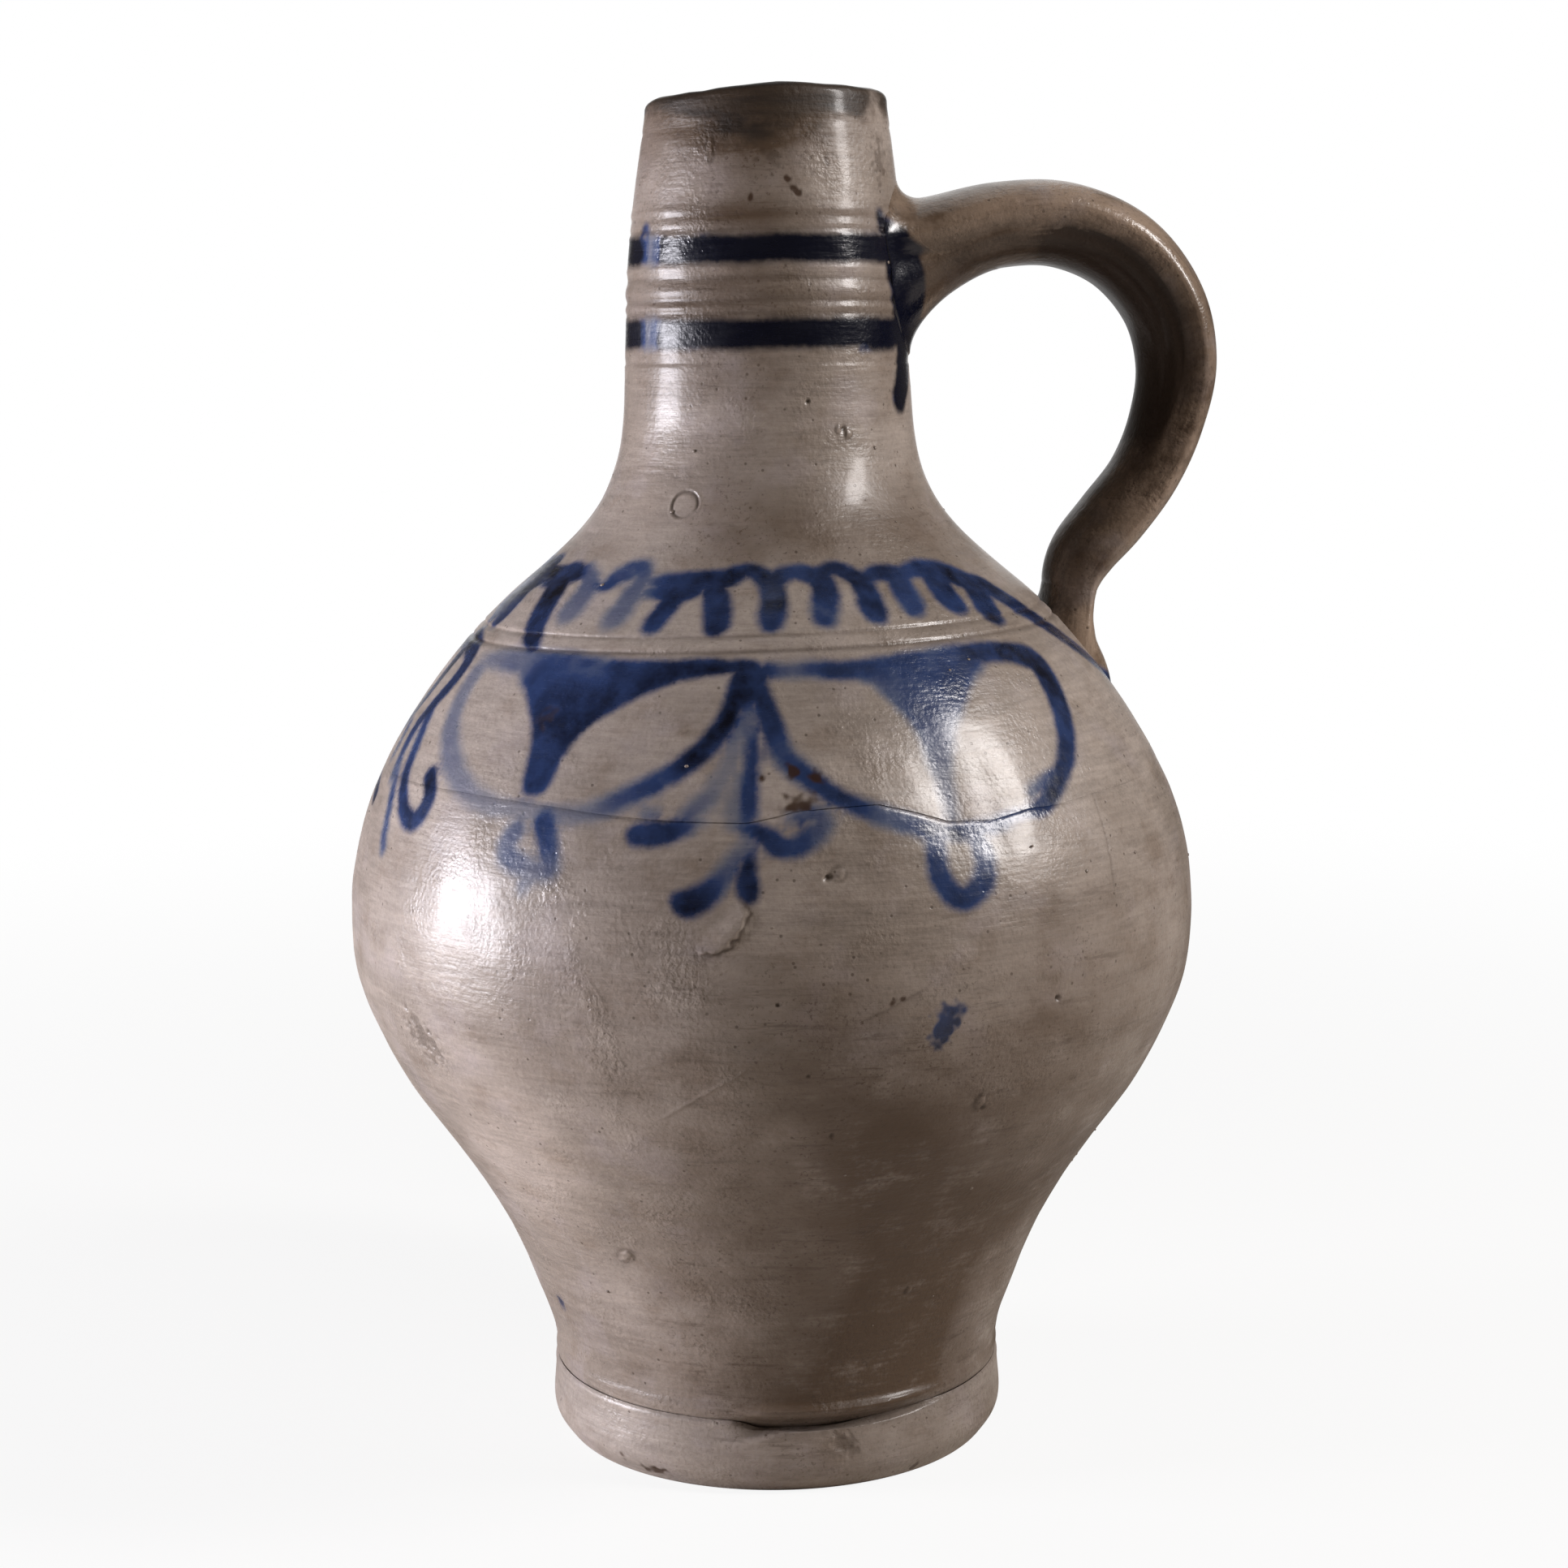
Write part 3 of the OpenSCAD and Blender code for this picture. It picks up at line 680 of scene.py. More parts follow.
    def lay(self, surface: Surface, co: np.ndarray) -> tuple[np.ndarray, np.ndarray]:
        """Find how far each point is from the edge of the paint.

        Args:
            surface: Surface of the jug.
            co: Points on or near it, in millimetres.

        Returns:
            Distance to the nearest painted edge, negative inside the paint, and the load of pigment.
        """
        az = np.degrees(np.arctan2(co[:, 1], co[:, 0]))
        z = co[:, 2]
        edge = np.full(len(co), FAR)
        weight = np.full(len(co), 1e-6)
        load = np.zeros(len(co))
        for stroke in self.strokes():
            dabs = stroke.dabs(surface, self.dab_spacing)
            for part in np.array_split(dabs, max(1, len(dabs) // 24)):
                mid_az, mid_z = part[:, 0].mean(), part[:, 1].mean()
                across, along = surface.offsets(az, z, mid_az, mid_z)
                reach_a, reach_l = surface.offsets(part[:, 0], part[:, 1], mid_az, mid_z)
                reach = float(np.hypot(reach_a, reach_l).max() + part[:, 2].max()) + 6.0
                near = np.nonzero(np.hypot(across, along) < reach)[0]
                if not len(near):
                    continue
                da, dl = surface.offsets(az[near, None], z[near, None], part[None, :, 0], part[None, :, 1])
                gap = np.hypot(da, dl) - part[None, :, 2]
                best = gap.argmin(1)
                closest = gap[np.arange(len(near)), best]
                edge[near] = np.minimum(edge[near], closest)
                pull = np.exp(-np.clip(closest, -1.5, 8) / 0.7) * (0.25 + part[best, 3])
                load[near] += pull * part[best, 3]
                weight[near] += pull
        for wash in self.washes():
            near, gap, depth = wash.cover(surface, az, z)
            edge[near] = np.minimum(edge[near], gap)
            pull = 3 * np.exp(-np.clip(gap, -2.5, 8) / 0.7)
            load[near] += pull * depth
            weight[near] += pull
        return edge, load / weight


@dataclass(frozen=True)
class Mark:
    """One small mark: its kind, place, size and depth or height."""

    kind: MarkKind
    az: float
    z: float
    size: float
    depth: float = 0.4
    slant: float = 0.0
    stretch: float = 1.0


@dataclass(frozen=True)
class Wear:
    """All the marks of making, firing and use on the outside."""

    marks: tuple[Mark, ...] = (
        Mark(MarkKind.RING, -126.6, 212.1, 3.1, 0.25),
        Mark(MarkKind.PIT, -82.7, 233.4, 0.5, 0.4),
        Mark(MarkKind.PIT, -68.2, 227.6, 0.8, 0.25),
        Mark(MarkKind.CRUMB, -66.4, 226.6, 1.0, 0.4),
        Mark(MarkKind.CRUMB, -70.6, 227.4, 0.7, 0.3),
        Mark(MarkKind.RUST, -95.1, 162.5, 1.5, 0.15),
        Mark(MarkKind.RUST, -94.4, 156.4, 1.9, 0.15, 0.4, 1.8),
        Mark(MarkKind.RUST, -91.9, 161.4, 1.3, 0.15),
        Mark(MarkKind.RUST, -99.2, 161.0, 0.7, 0.1),
        Mark(MarkKind.SCAR, -104.6, 134.2, 4.4, 0.65, 0.85, 1.45),
        Mark(MarkKind.PIT, -91.2, 142.8, 0.9, 0.6),
        Mark(MarkKind.CRUMB, -89.8, 143.4, 1.3, 0.35),
        Mark(MarkKind.BLOT, -76.9, 112.2, 2.2, 0.0, 1.2, 1.6),
        Mark(MarkKind.BLOT, -75.9, 115.0, 1.3, 0.0, 0.0, 1.7),
        Mark(MarkKind.SMUDGE, -150.8, 102.9, 4.2, 0.25, -0.7, 1.6),
        Mark(MarkKind.PIT, -60.5, 114.7, 0.8, 0.6),
        Mark(MarkKind.CRUMB, -127.8, 55.4, 1.5, 0.4, 0.6, 1.5),
        Mark(MarkKind.CRUMB, -69.8, 94.3, 1.2, 0.45, 1.5, 1.6),
        Mark(MarkKind.PIT, -69.2, 92.6, 0.8, 0.3),
        Mark(MarkKind.CRUMB, -69.5, 46.1, 0.9, 0.35),
        Mark(MarkKind.CRUMB, -122.6, 286.0, 1.0, 0.13, 1.6, 2.3),
        Mark(MarkKind.RUST, -85.6, 277.4, 0.9, 0.1, -0.6, 1.6),
        Mark(MarkKind.RUST, -88.5, 279.6, 0.7, 0.06, -0.2, 1.6),
        Mark(MarkKind.RUST, -104.3, 275.8, 0.6, 0.08, 1.5, 2.0),
        Mark(MarkKind.SMUDGE, -71.1, 283.2, 0.9, 0.05),
        Mark(MarkKind.SMUDGE, -96.5, 283.8, 1.9, 0.05, -0.7, 1.4),
        Mark(MarkKind.SMUDGE, -38.0, 284.5, 3.0, 0.05, 1.4, 1.8),
        Mark(MarkKind.PIT, -97.5, 118.4, 0.55, 0.4),
        Mark(MarkKind.PIT, -90.4, 89.5, 0.5, 0.4, 1.5, 1.8),
        Mark(MarkKind.PIT, -93.8, 103.4, 0.45, 0.3),
        Mark(MarkKind.SCRATCH, -106.9, 99.1, 1.0, 0.16, 0.6, 14.0),
        Mark(MarkKind.SCRATCH, -112.8, 105.3, 1.0, 0.10, 0.3, 8.5),
        Mark(MarkKind.SCRATCH, -83.2, 117.5, 1.0, -0.12, 0.43, 8.5),
        Mark(MarkKind.RUST, -83.7, 117.8, 0.7, 0.05, 0.4, 1.3),
        Mark(MarkKind.RUST, -82.4, 118.5, 0.5, 0.05),
        Mark(MarkKind.SCRATCH, -48.3, 144.0, 1.0, -0.07, 1.45, 12.5),
        Mark(MarkKind.SMUDGE, -135.0, 171.0, 2.4, 0.1, 0.5, 1.3),
        Mark(MarkKind.CRUMB, 122.0, 96.0, 1.3, 0.4),
        Mark(MarkKind.PIT, 148.0, 128.0, 1.0, 0.5),
        Mark(MarkKind.RUST, 75.0, 88.0, 1.4, 0.15),
        Mark(MarkKind.SMUDGE, 64.0, 132.0, 3.8, 0.2, 0.5, 1.5),
        Mark(MarkKind.CRUMB, 30.0, 62.0, 1.2, 0.4),
        Mark(MarkKind.PIT, 100.0, 218.0, 0.8, 0.4),
        Mark(MarkKind.BLOT, -158.0, 36.0, 1.2, 0.0),
    )
    foot_marks: tuple[Mark, ...] = (
        Mark(MarkKind.PIT, -81.8, 10.6, 2.2, 0.55, -0.7, 1.8),
        Mark(MarkKind.RUST, -130.3, 2.6, 1.4, 0.1, 0.0, 2.2),
        Mark(MarkKind.RUST, -26.9, 5.1, 1.0, 0.1),
        Mark(MarkKind.RUST, -61.0, 1.6, 1.3, 0.1),
        Mark(MarkKind.RUST, -140.0, 4.2, 0.9, 0.1),
        Mark(MarkKind.PIT, 120.0, 7.0, 1.6, 0.4, 0.4, 1.6),
        Mark(MarkKind.RUST, 150.0, 2.0, 1.5, 0.1, 0.0, 2.0),
    )

    def spots(self, surface: Surface, marks: Iterable[Mark], low: float, high: float) -> list[tuple[np.ndarray, float]]:
        """Places between two heights that need a finer mesh.

        Args:
            surface: Surface of the jug.
            marks: Marks to look through.
            low: Lowest height.
            high: Greatest height.

        Returns:
            Centre and radius of each place, in millimetres.
        """
        places = []
        for m in marks:
            if not low < m.z < high:
                continue
            if m.kind is not MarkKind.SCRATCH:
                places.append((surface.point(m.az, m.z), m.size * max(1.0, m.stretch) + 2.2))
                continue
            for t in np.arange(-m.stretch, m.stretch + 0.1, 1.5):
                az = m.az + math.degrees(t * math.cos(m.slant) / float(surface.radius(m.z)))
                places.append((surface.point(az, m.z + t * math.sin(m.slant)), 1.9))
        return places

    def press(self, surface: Surface, co: np.ndarray, marks: Iterable[Mark]) -> tuple[np.ndarray, dict[str, np.ndarray]]:
        """Work out how the marks raise and colour the surface.

        Args:
            surface: Surface of the jug.
            co: Points of a piece's outside, in millimetres.
            marks: Marks to press.

        Returns:
            Height added at each point, and shares of rust, of dirt with painted shade, and of stray cobalt.
        """
        az, z = np.degrees(np.arctan2(co[:, 1], co[:, 0])), co[:, 2]
        lift = np.zeros(len(co))
        tint = {"rust": np.zeros(len(co)), "dirt_and_shade": np.zeros(len(co)), "blot": np.full(len(co), FAR)}
        ragged = ClayNoise(5, 2.4).at(co)
        for m in marks:
            across, along = surface.offsets(az, z, m.az, m.z)
            near = np.nonzero(np.hypot(across, along) < 4 * m.size * m.stretch)[0]
            c, s = math.cos(m.slant), math.sin(m.slant)
            u = (across[near] * c + along[near] * s) / m.stretch
            v = -across[near] * s + along[near] * c
            away = np.hypot(u, v) / m.size
            rough = ragged[near]
            if m.kind is MarkKind.RING:
                wire = hump(away * m.size, m.size, 0.28) * ease(-1.2, -0.5, np.sin(np.arctan2(v, u) - 0.6))
                lift[near] += m.depth * (0.5 * hump(away * m.size, m.size + 0.55, 0.3) - wire)
                tint["dirt_and_shade"][near] = np.maximum(tint["dirt_and_shade"][near], 0.75 * wire)
            elif m.kind is MarkKind.PIT:
                hole = ease(1.25 + 0.3 * rough, 0.35, away)
                lift[near] -= m.depth * hole
                tint["dirt_and_shade"][near] = np.maximum(tint["dirt_and_shade"][near], hole**2 * min(1.0, 0.9 / m.size))
            elif m.kind is MarkKind.SCAR:
                # The dark crescent along the lifted lower edge is painted shadow under the scar.
                low = ease(-0.2, 0.8, -v / m.size)
                lift[near] += m.depth * ease(1.12, 0.95, away + 0.08 * rough) * low
                tint["dirt_and_shade"][near] = np.maximum(tint["dirt_and_shade"][near], 0.95 * hump(away + 0.08 * rough, 1.1, 0.06) * low)
            elif m.kind is MarkKind.CRUMB:
                lift[near] += m.depth * ease(1.1, 0.35, away + 0.3 * rough)
                tint["dirt_and_shade"][near] = np.maximum(tint["dirt_and_shade"][near], 0.5 * hump(away, 1.15, 0.2))
            elif m.kind is MarkKind.RUST:
                spot = 0.9 * ease(1.3, 0.45, away + 0.4 * rough)
                lift[near] -= m.depth * spot
                tint["rust"][near] = np.maximum(tint["rust"][near], spot)
            elif m.kind is MarkKind.SCRATCH:
                line = hump(v + 0.12 * rough, 0, 0.24) * ease(1.0, 0.6, np.abs(u) / m.size)
                lift[near] += m.depth * line
                tint["dirt_and_shade"][near] = np.maximum(tint["dirt_and_shade"][near], line * (0.35 if m.depth < 0 else 0.1))
            elif m.kind is MarkKind.BLOT:
                tint["blot"][near] = np.minimum(tint["blot"][near], (away - 1 + 0.45 * rough) * m.size)
            else:
                lift[near] -= m.depth * ease(1.1, 0.5, away + 0.5 * rough)
                tint["dirt_and_shade"][near] = np.maximum(tint["dirt_and_shade"][near], 0.55 * ease(1.2, 0.2, away + 0.5 * rough))
        return lift, tint


@dataclass(frozen=True)
class SaltGlaze:
    """Thrown stoneware, salt-glazed in the kiln over cobalt brushwork.

    To the eye it is a warm grey body under thin clear glass, orange-peeled at about a millimetre, with drag lines
    from throwing, brown staining from handling with painted shade and painted light laid in with it, and blue that is
    near black where the brush was full.
    """

    name: str
    pale: str = "aea299"
    grey: str = "95897f"
    brown: str = "6b5641"
    bloom_and_highlight: str = "afa4a3"
    speck: str = "3a2c20"
    soil_and_shading: str = "53402e"
    dust: str = "4c3d32"
    soot: str = "1d1510"
    rust: str = "3d2716"
    cobalt_thin: str = "6a7488"
    cobalt_mid: str = "2e406b"
    cobalt_full: str = "090c1c"
    brown_share: float = 0.35
    soil_and_shading_share: float = 0.8
    roughness: float = 0.36
    roughness_spread: float = 0.16
    dry_roughness: float = 0.0
    peel_mm: float = 1.0
    peel_height: float = 0.18
    drag_mm: float = 0.95
    drag_height: float = 0.16
    dent_mm: float = 9.0
    dent_height: float = 0.22
    coat: float = 0.2
    coat_roughness: float = 0.15

    def build(self) -> bpy.types.Material:
        """Build the node tree.

        Returns:
            The finished material.
        """
        material = bpy.data.materials.new(self.name)
        material.use_nodes = True
        tree = material.node_tree
        tree.nodes.clear()

        def math_node(operation: str, *values: Any, clamp: bool = False) -> bpy.types.NodeSocket:
            """Output of a Math node on the given values or sockets."""
            return add_node(tree, "ShaderNodeMath", dict(enumerate(values)), operation=operation, use_clamp=clamp).outputs[0]

        def graded(value: Any, low: Any, high: Any, to_low: Any = 0.0, to_high: Any = 1.0) -> bpy.types.NodeSocket:
            """Smooth step of a value from one range to another."""
            return add_node(
                tree, "ShaderNodeMapRange", {0: value, 1: low, 2: high, 3: to_low, 4: to_high}, interpolation_type="SMOOTHSTEP"
            ).outputs[0]

        def blended(share: Any, under: Any, over: Any, mode: str = "MIX") -> bpy.types.NodeSocket:
            """Colour mixed from two colours."""
            node = add_node(tree, "ShaderNodeMix", {0: share, 6: under, 7: over}, data_type="RGBA", blend_type=mode)
            return node.outputs[2]

        def noise(vector: Any, size_mm: float, detail: float = 2.0, rough: float = 0.5, seed: float = 0.0) -> bpy.types.NodeSocket:
            """Noise whose swellings are about size_mm apart."""
            return add_node(
                tree,
                "ShaderNodeTexNoise",
                {"Vector": vector, "W": seed, "Scale": 1.0 / size_mm, "Detail": detail, "Roughness": rough},
                noise_dimensions="4D",
            ).outputs[0]

        def kept(attribute: str) -> bpy.types.NodeSocket:
            """Number stored on the mesh."""
            return add_node(tree, "ShaderNodeAttribute", attribute_name=attribute).outputs["Fac"]

        place = add_node(tree, "ShaderNodeTexCoord").outputs["Object"]
        mm = add_node(tree, "ShaderNodeVectorMath", {0: place, "Scale": 1 / MM}, operation="SCALE").outputs[0]
        # Millimetres shrunk along the way in which the clay was drawn out
        pulled = add_node(tree, "ShaderNodeAttribute", attribute_name="pulled").outputs["Vector"]

        # Clay body: clouds of paler and browner clay, drawn out a little round the jug
        stretched = add_node(tree, "ShaderNodeVectorMath", {0: mm, 1: (0.8, 0.8, 1.0)}, operation="MULTIPLY").outputs[0]
        cloud = noise(stretched, 34, 3, 0.55, 1.0)
        patch = noise(stretched, 9, 4, 0.62, 2.0)
        drag = noise(pulled, self.drag_mm, 3, 0.6, 3.0)
        wide_drag = noise(pulled, self.drag_mm * 4, 3, 0.6, 4.0)
        grain = noise(mm, 0.9, 2, 0.6, 5.0)
        soil_and_shading = kept("soil_and_shading")
        colour = blended(graded(cloud, 0.36, 0.64), linear(self.grey), linear(self.pale))
        colour = blended(
            math_node("MULTIPLY", graded(patch, 0.48, 0.72), self.brown_share), colour, linear(self.brown)
        )
        colour = blended(math_node("MULTIPLY", graded(noise(mm, 15, 4, 0.6, 6.0), 0.5, 0.7), 0.45), colour, linear(self.bloom_and_highlight))
        tone = math_node(
            "ADD",
            math_node("ADD", graded(drag, 0.3, 0.7, 0.89, 1.07), graded(wide_drag, 0.3, 0.7, -0.07, 0.05)),
            graded(grain, 0.25, 0.75, -0.09, 0.07),
        )
        # Where soil_and_shading is below 0 the clay is made paler, which carries the painted light and painted
        # highlight on the body.
        tone = math_node("ADD", tone, graded(soil_and_shading, 0.0, -0.5, 0.0, 0.26))
        colour = blended(1.0, colour, add_node(tree, "ShaderNodeCombineColor", {0: tone, 1: tone, 2: tone}).outputs[0], "MULTIPLY")

        # Iron specks. Real ones are 0.1 to 0.3 mm and are drawn at up to 0.5 mm, so that they show
        cells = add_node(tree, "ShaderNodeTexVoronoi", {"Vector": mm, "Scale": 1 / 2.8, "Randomness": 1.0})
        some = math_node("GREATER_THAN", add_node(tree, "ShaderNodeSeparateColor", {0: cells.outputs["Color"]}).outputs[0], 0.62)
        speck = math_node("MULTIPLY", graded(cells.outputs["Distance"], 0.16, 0.07), some)
        colour = blended(math_node("MULTIPLY", speck, 0.6), colour, linear(self.speck))

        # Brown staining of handling and cellar dirt, caught in the drag lines; on the strap's inner face it also
        # carries painted shade
        held = math_node("ADD", math_node("MULTIPLY", patch, 0.75), math_node("MULTIPLY", drag, 0.35))
        held = math_node("ADD", held, math_node("MULTIPLY", grain, 0.25))
        stain_and_shade = math_node("MULTIPLY", soil_and_shading, graded(math_node("ADD", held, math_node("MULTIPLY", soil_and_shading, 0.18)), 0.5, 0.85))
        stain_and_shade = math_node("ADD", stain_and_shade, graded(soil_and_shading, 0.8, 1.3, 0.0, 0.6))
        stain_and_shade = math_node("MULTIPLY", stain_and_shade, self.soil_and_shading_share, clamp=True)
        colour = blended(stain_and_shade, colour, linear(self.soil_and_shading))

        # Dust in the finest drag lines and pores, more where soil_and_shading is high, so that on the strap it deepens
        # the painted shade. Real pores are 0.2 mm and are drawn at twice that
        dust_and_shade_amount = math_node("ADD", soil_and_shading, 0.3)
        lines = graded(noise(pulled, 1.5, 4, 0.75, 11.0), 0.52, 0.68)
        pores = graded(noise(mm, 0.8, 3, 0.65, 12.0), 0.54, 0.68)
        dust = math_node("MULTIPLY", math_node("MAXIMUM", math_node("MULTIPLY", lines, 0.8), pores), dust_and_shade_amount)
        dust = math_node("MULTIPLY", dust, graded(noise(mm, 7, 4, 0.6, 13.0), 0.38, 0.62, 0.2, 0.8), clamp=True)
        colour = blended(dust, colour, linear(self.dust))

        # Cobalt: the stored distance to the stroke's edge, feathered by the wet clay and the melting salt
        load = kept("cobalt_load")
        ragged = math_node("MULTIPLY", math_node("SUBTRACT", noise(mm, 2.8, 3, 0.6, 7.0), 0.5), graded(load, 0.4, 1.0, 1.8, 1.2))
        feather = math_node("ADD", ragged, math_node("MULTIPLY", math_node("SUBTRACT", grain, 0.5), 0.7))
        inside = math_node("SUBTRACT", feather, kept("stroke_edge"))
        soft = graded(load, 0.25, 1.0, 2.9, 1.7)
        cover = graded(inside, math_node("MULTIPLY", soft, -0.86), math_node("MULTIPLY", soft, 0.4))
        depth = graded(inside, -0.8, 1.6, graded(load, 0.3, 1.0, 0.45, 0.78), 1.0)
        pool = graded(noise(mm, 7.0, 3, 0.6, 8.0), 0.3, 0.7, 0.64, 1.04)
        strength = math_node("MULTIPLY", math_node("MULTIPLY", load, depth), pool, clamp=True)
        ramp = add_node(tree, "ShaderNodeValToRGB", {0: strength})
        stops = ramp.color_ramp.elements
        stops[0].position, stops[0].color = 0.08, linear(self.cobalt_thin)
        stops[1].position, stops[1].color = 1.0, linear(self.cobalt_full)
        middle = stops.new(0.5)
        middle.color = linear(self.cobalt_mid)
        body_of_blue = graded(load, 0.05, 0.65, 0.55, 1.0)
        blue = math_node("MULTIPLY", cover, body_of_blue, clamp=True)
        colour = blended(blue, colour, ramp.outputs[0])

        # Rust, dirt in pits, painted shade in the foot slot and under the scar's lifted edge, and the burnt, worn rim
        colour = blended(kept("rust"), colour, linear(self.rust))
        colour = blended(math_node("MULTIPLY", kept("dirt_and_shade"), 0.85), colour, linear(self.speck))
        burnt = graded(
            math_node("ADD", kept("soot"), math_node("MULTIPLY", math_node("SUBTRACT", patch, 0.5), 1.1)), 0.32, 0.74
        )
        char = blended(graded(wide_drag, 0.42, 0.62), linear(self.soot), linear(self.brown))
        colour = blended(math_node("MULTIPLY", burnt, 0.95), colour, blended(0.75, char, linear(self.soot)))

        # Height in millimetres: orange peel of the salt, drag lines, soft dents and the skin of the thick blue
        peel = noise(mm, self.peel_mm, 2, 0.5, 9.0)
        dent = noise(mm, self.dent_mm, 3, 0.55, 10.0)
        glassy = math_node("SUBTRACT", 1.0, math_node("MULTIPLY", blue, 0.5))
        rough_skin = graded(noise(mm, 13, 2, 0.5, 14.0), 0.5, 0.68, 0.75, 2.0)
        height = math_node("MULTIPLY", math_node("MULTIPLY", peel, self.peel_height), math_node("MULTIPLY", glassy, rough_skin))
        height = math_node("ADD", height, math_node("MULTIPLY", math_node("MULTIPLY", drag, self.drag_height), glassy))
        height = math_node("ADD", height, math_node("MULTIPLY", dent, self.dent_height))
        height = math_node("ADD", height, math_node("MULTIPLY", blue, 0.05))
        height = math_node("SUBTRACT", height, math_node("MULTIPLY", speck, 0.04))
        bump = add_node(tree, "ShaderNodeBump", {"Strength": 1.0, "Distance": MM, "Height": height})

        half = self.roughness_spread / 2
        gloss = graded(math_node("ADD", math_node("MULTIPLY", patch, 0.6), math_node("MULTIPLY", drag, 0.4)), 0.3, 0.7,
                       self.roughness - half, self.roughness + half)  # fmt: skip
        gloss = math_node("SUBTRACT", gloss, math_node("MULTIPLY", blue, 0.12))
        gloss = math_node("ADD", gloss, math_node("MULTIPLY", stain_and_shade, 0.16))
        gloss = math_node("ADD", gloss, math_node("MULTIPLY", burnt, 0.05))
        gloss = math_node("ADD", gloss, graded(soil_and_shading, 0.8, 1.2, 0.0, self.dry_roughness), clamp=True)
        skin = add_node(
            tree,
            "ShaderNodeBsdfPrincipled",
            {
                "Base Color": colour,
                "Roughness": gloss,
                "IOR": 1.42,
                "Coat Weight": self.coat,
                "Coat Roughness": self.coat_roughness,
                "Coat IOR": 1.5,
                "Normal": bump.outputs[0],
            },
        )
        add_node(tree, "ShaderNodeOutputMaterial", {"Surface": skin.outputs[0]})
        return material


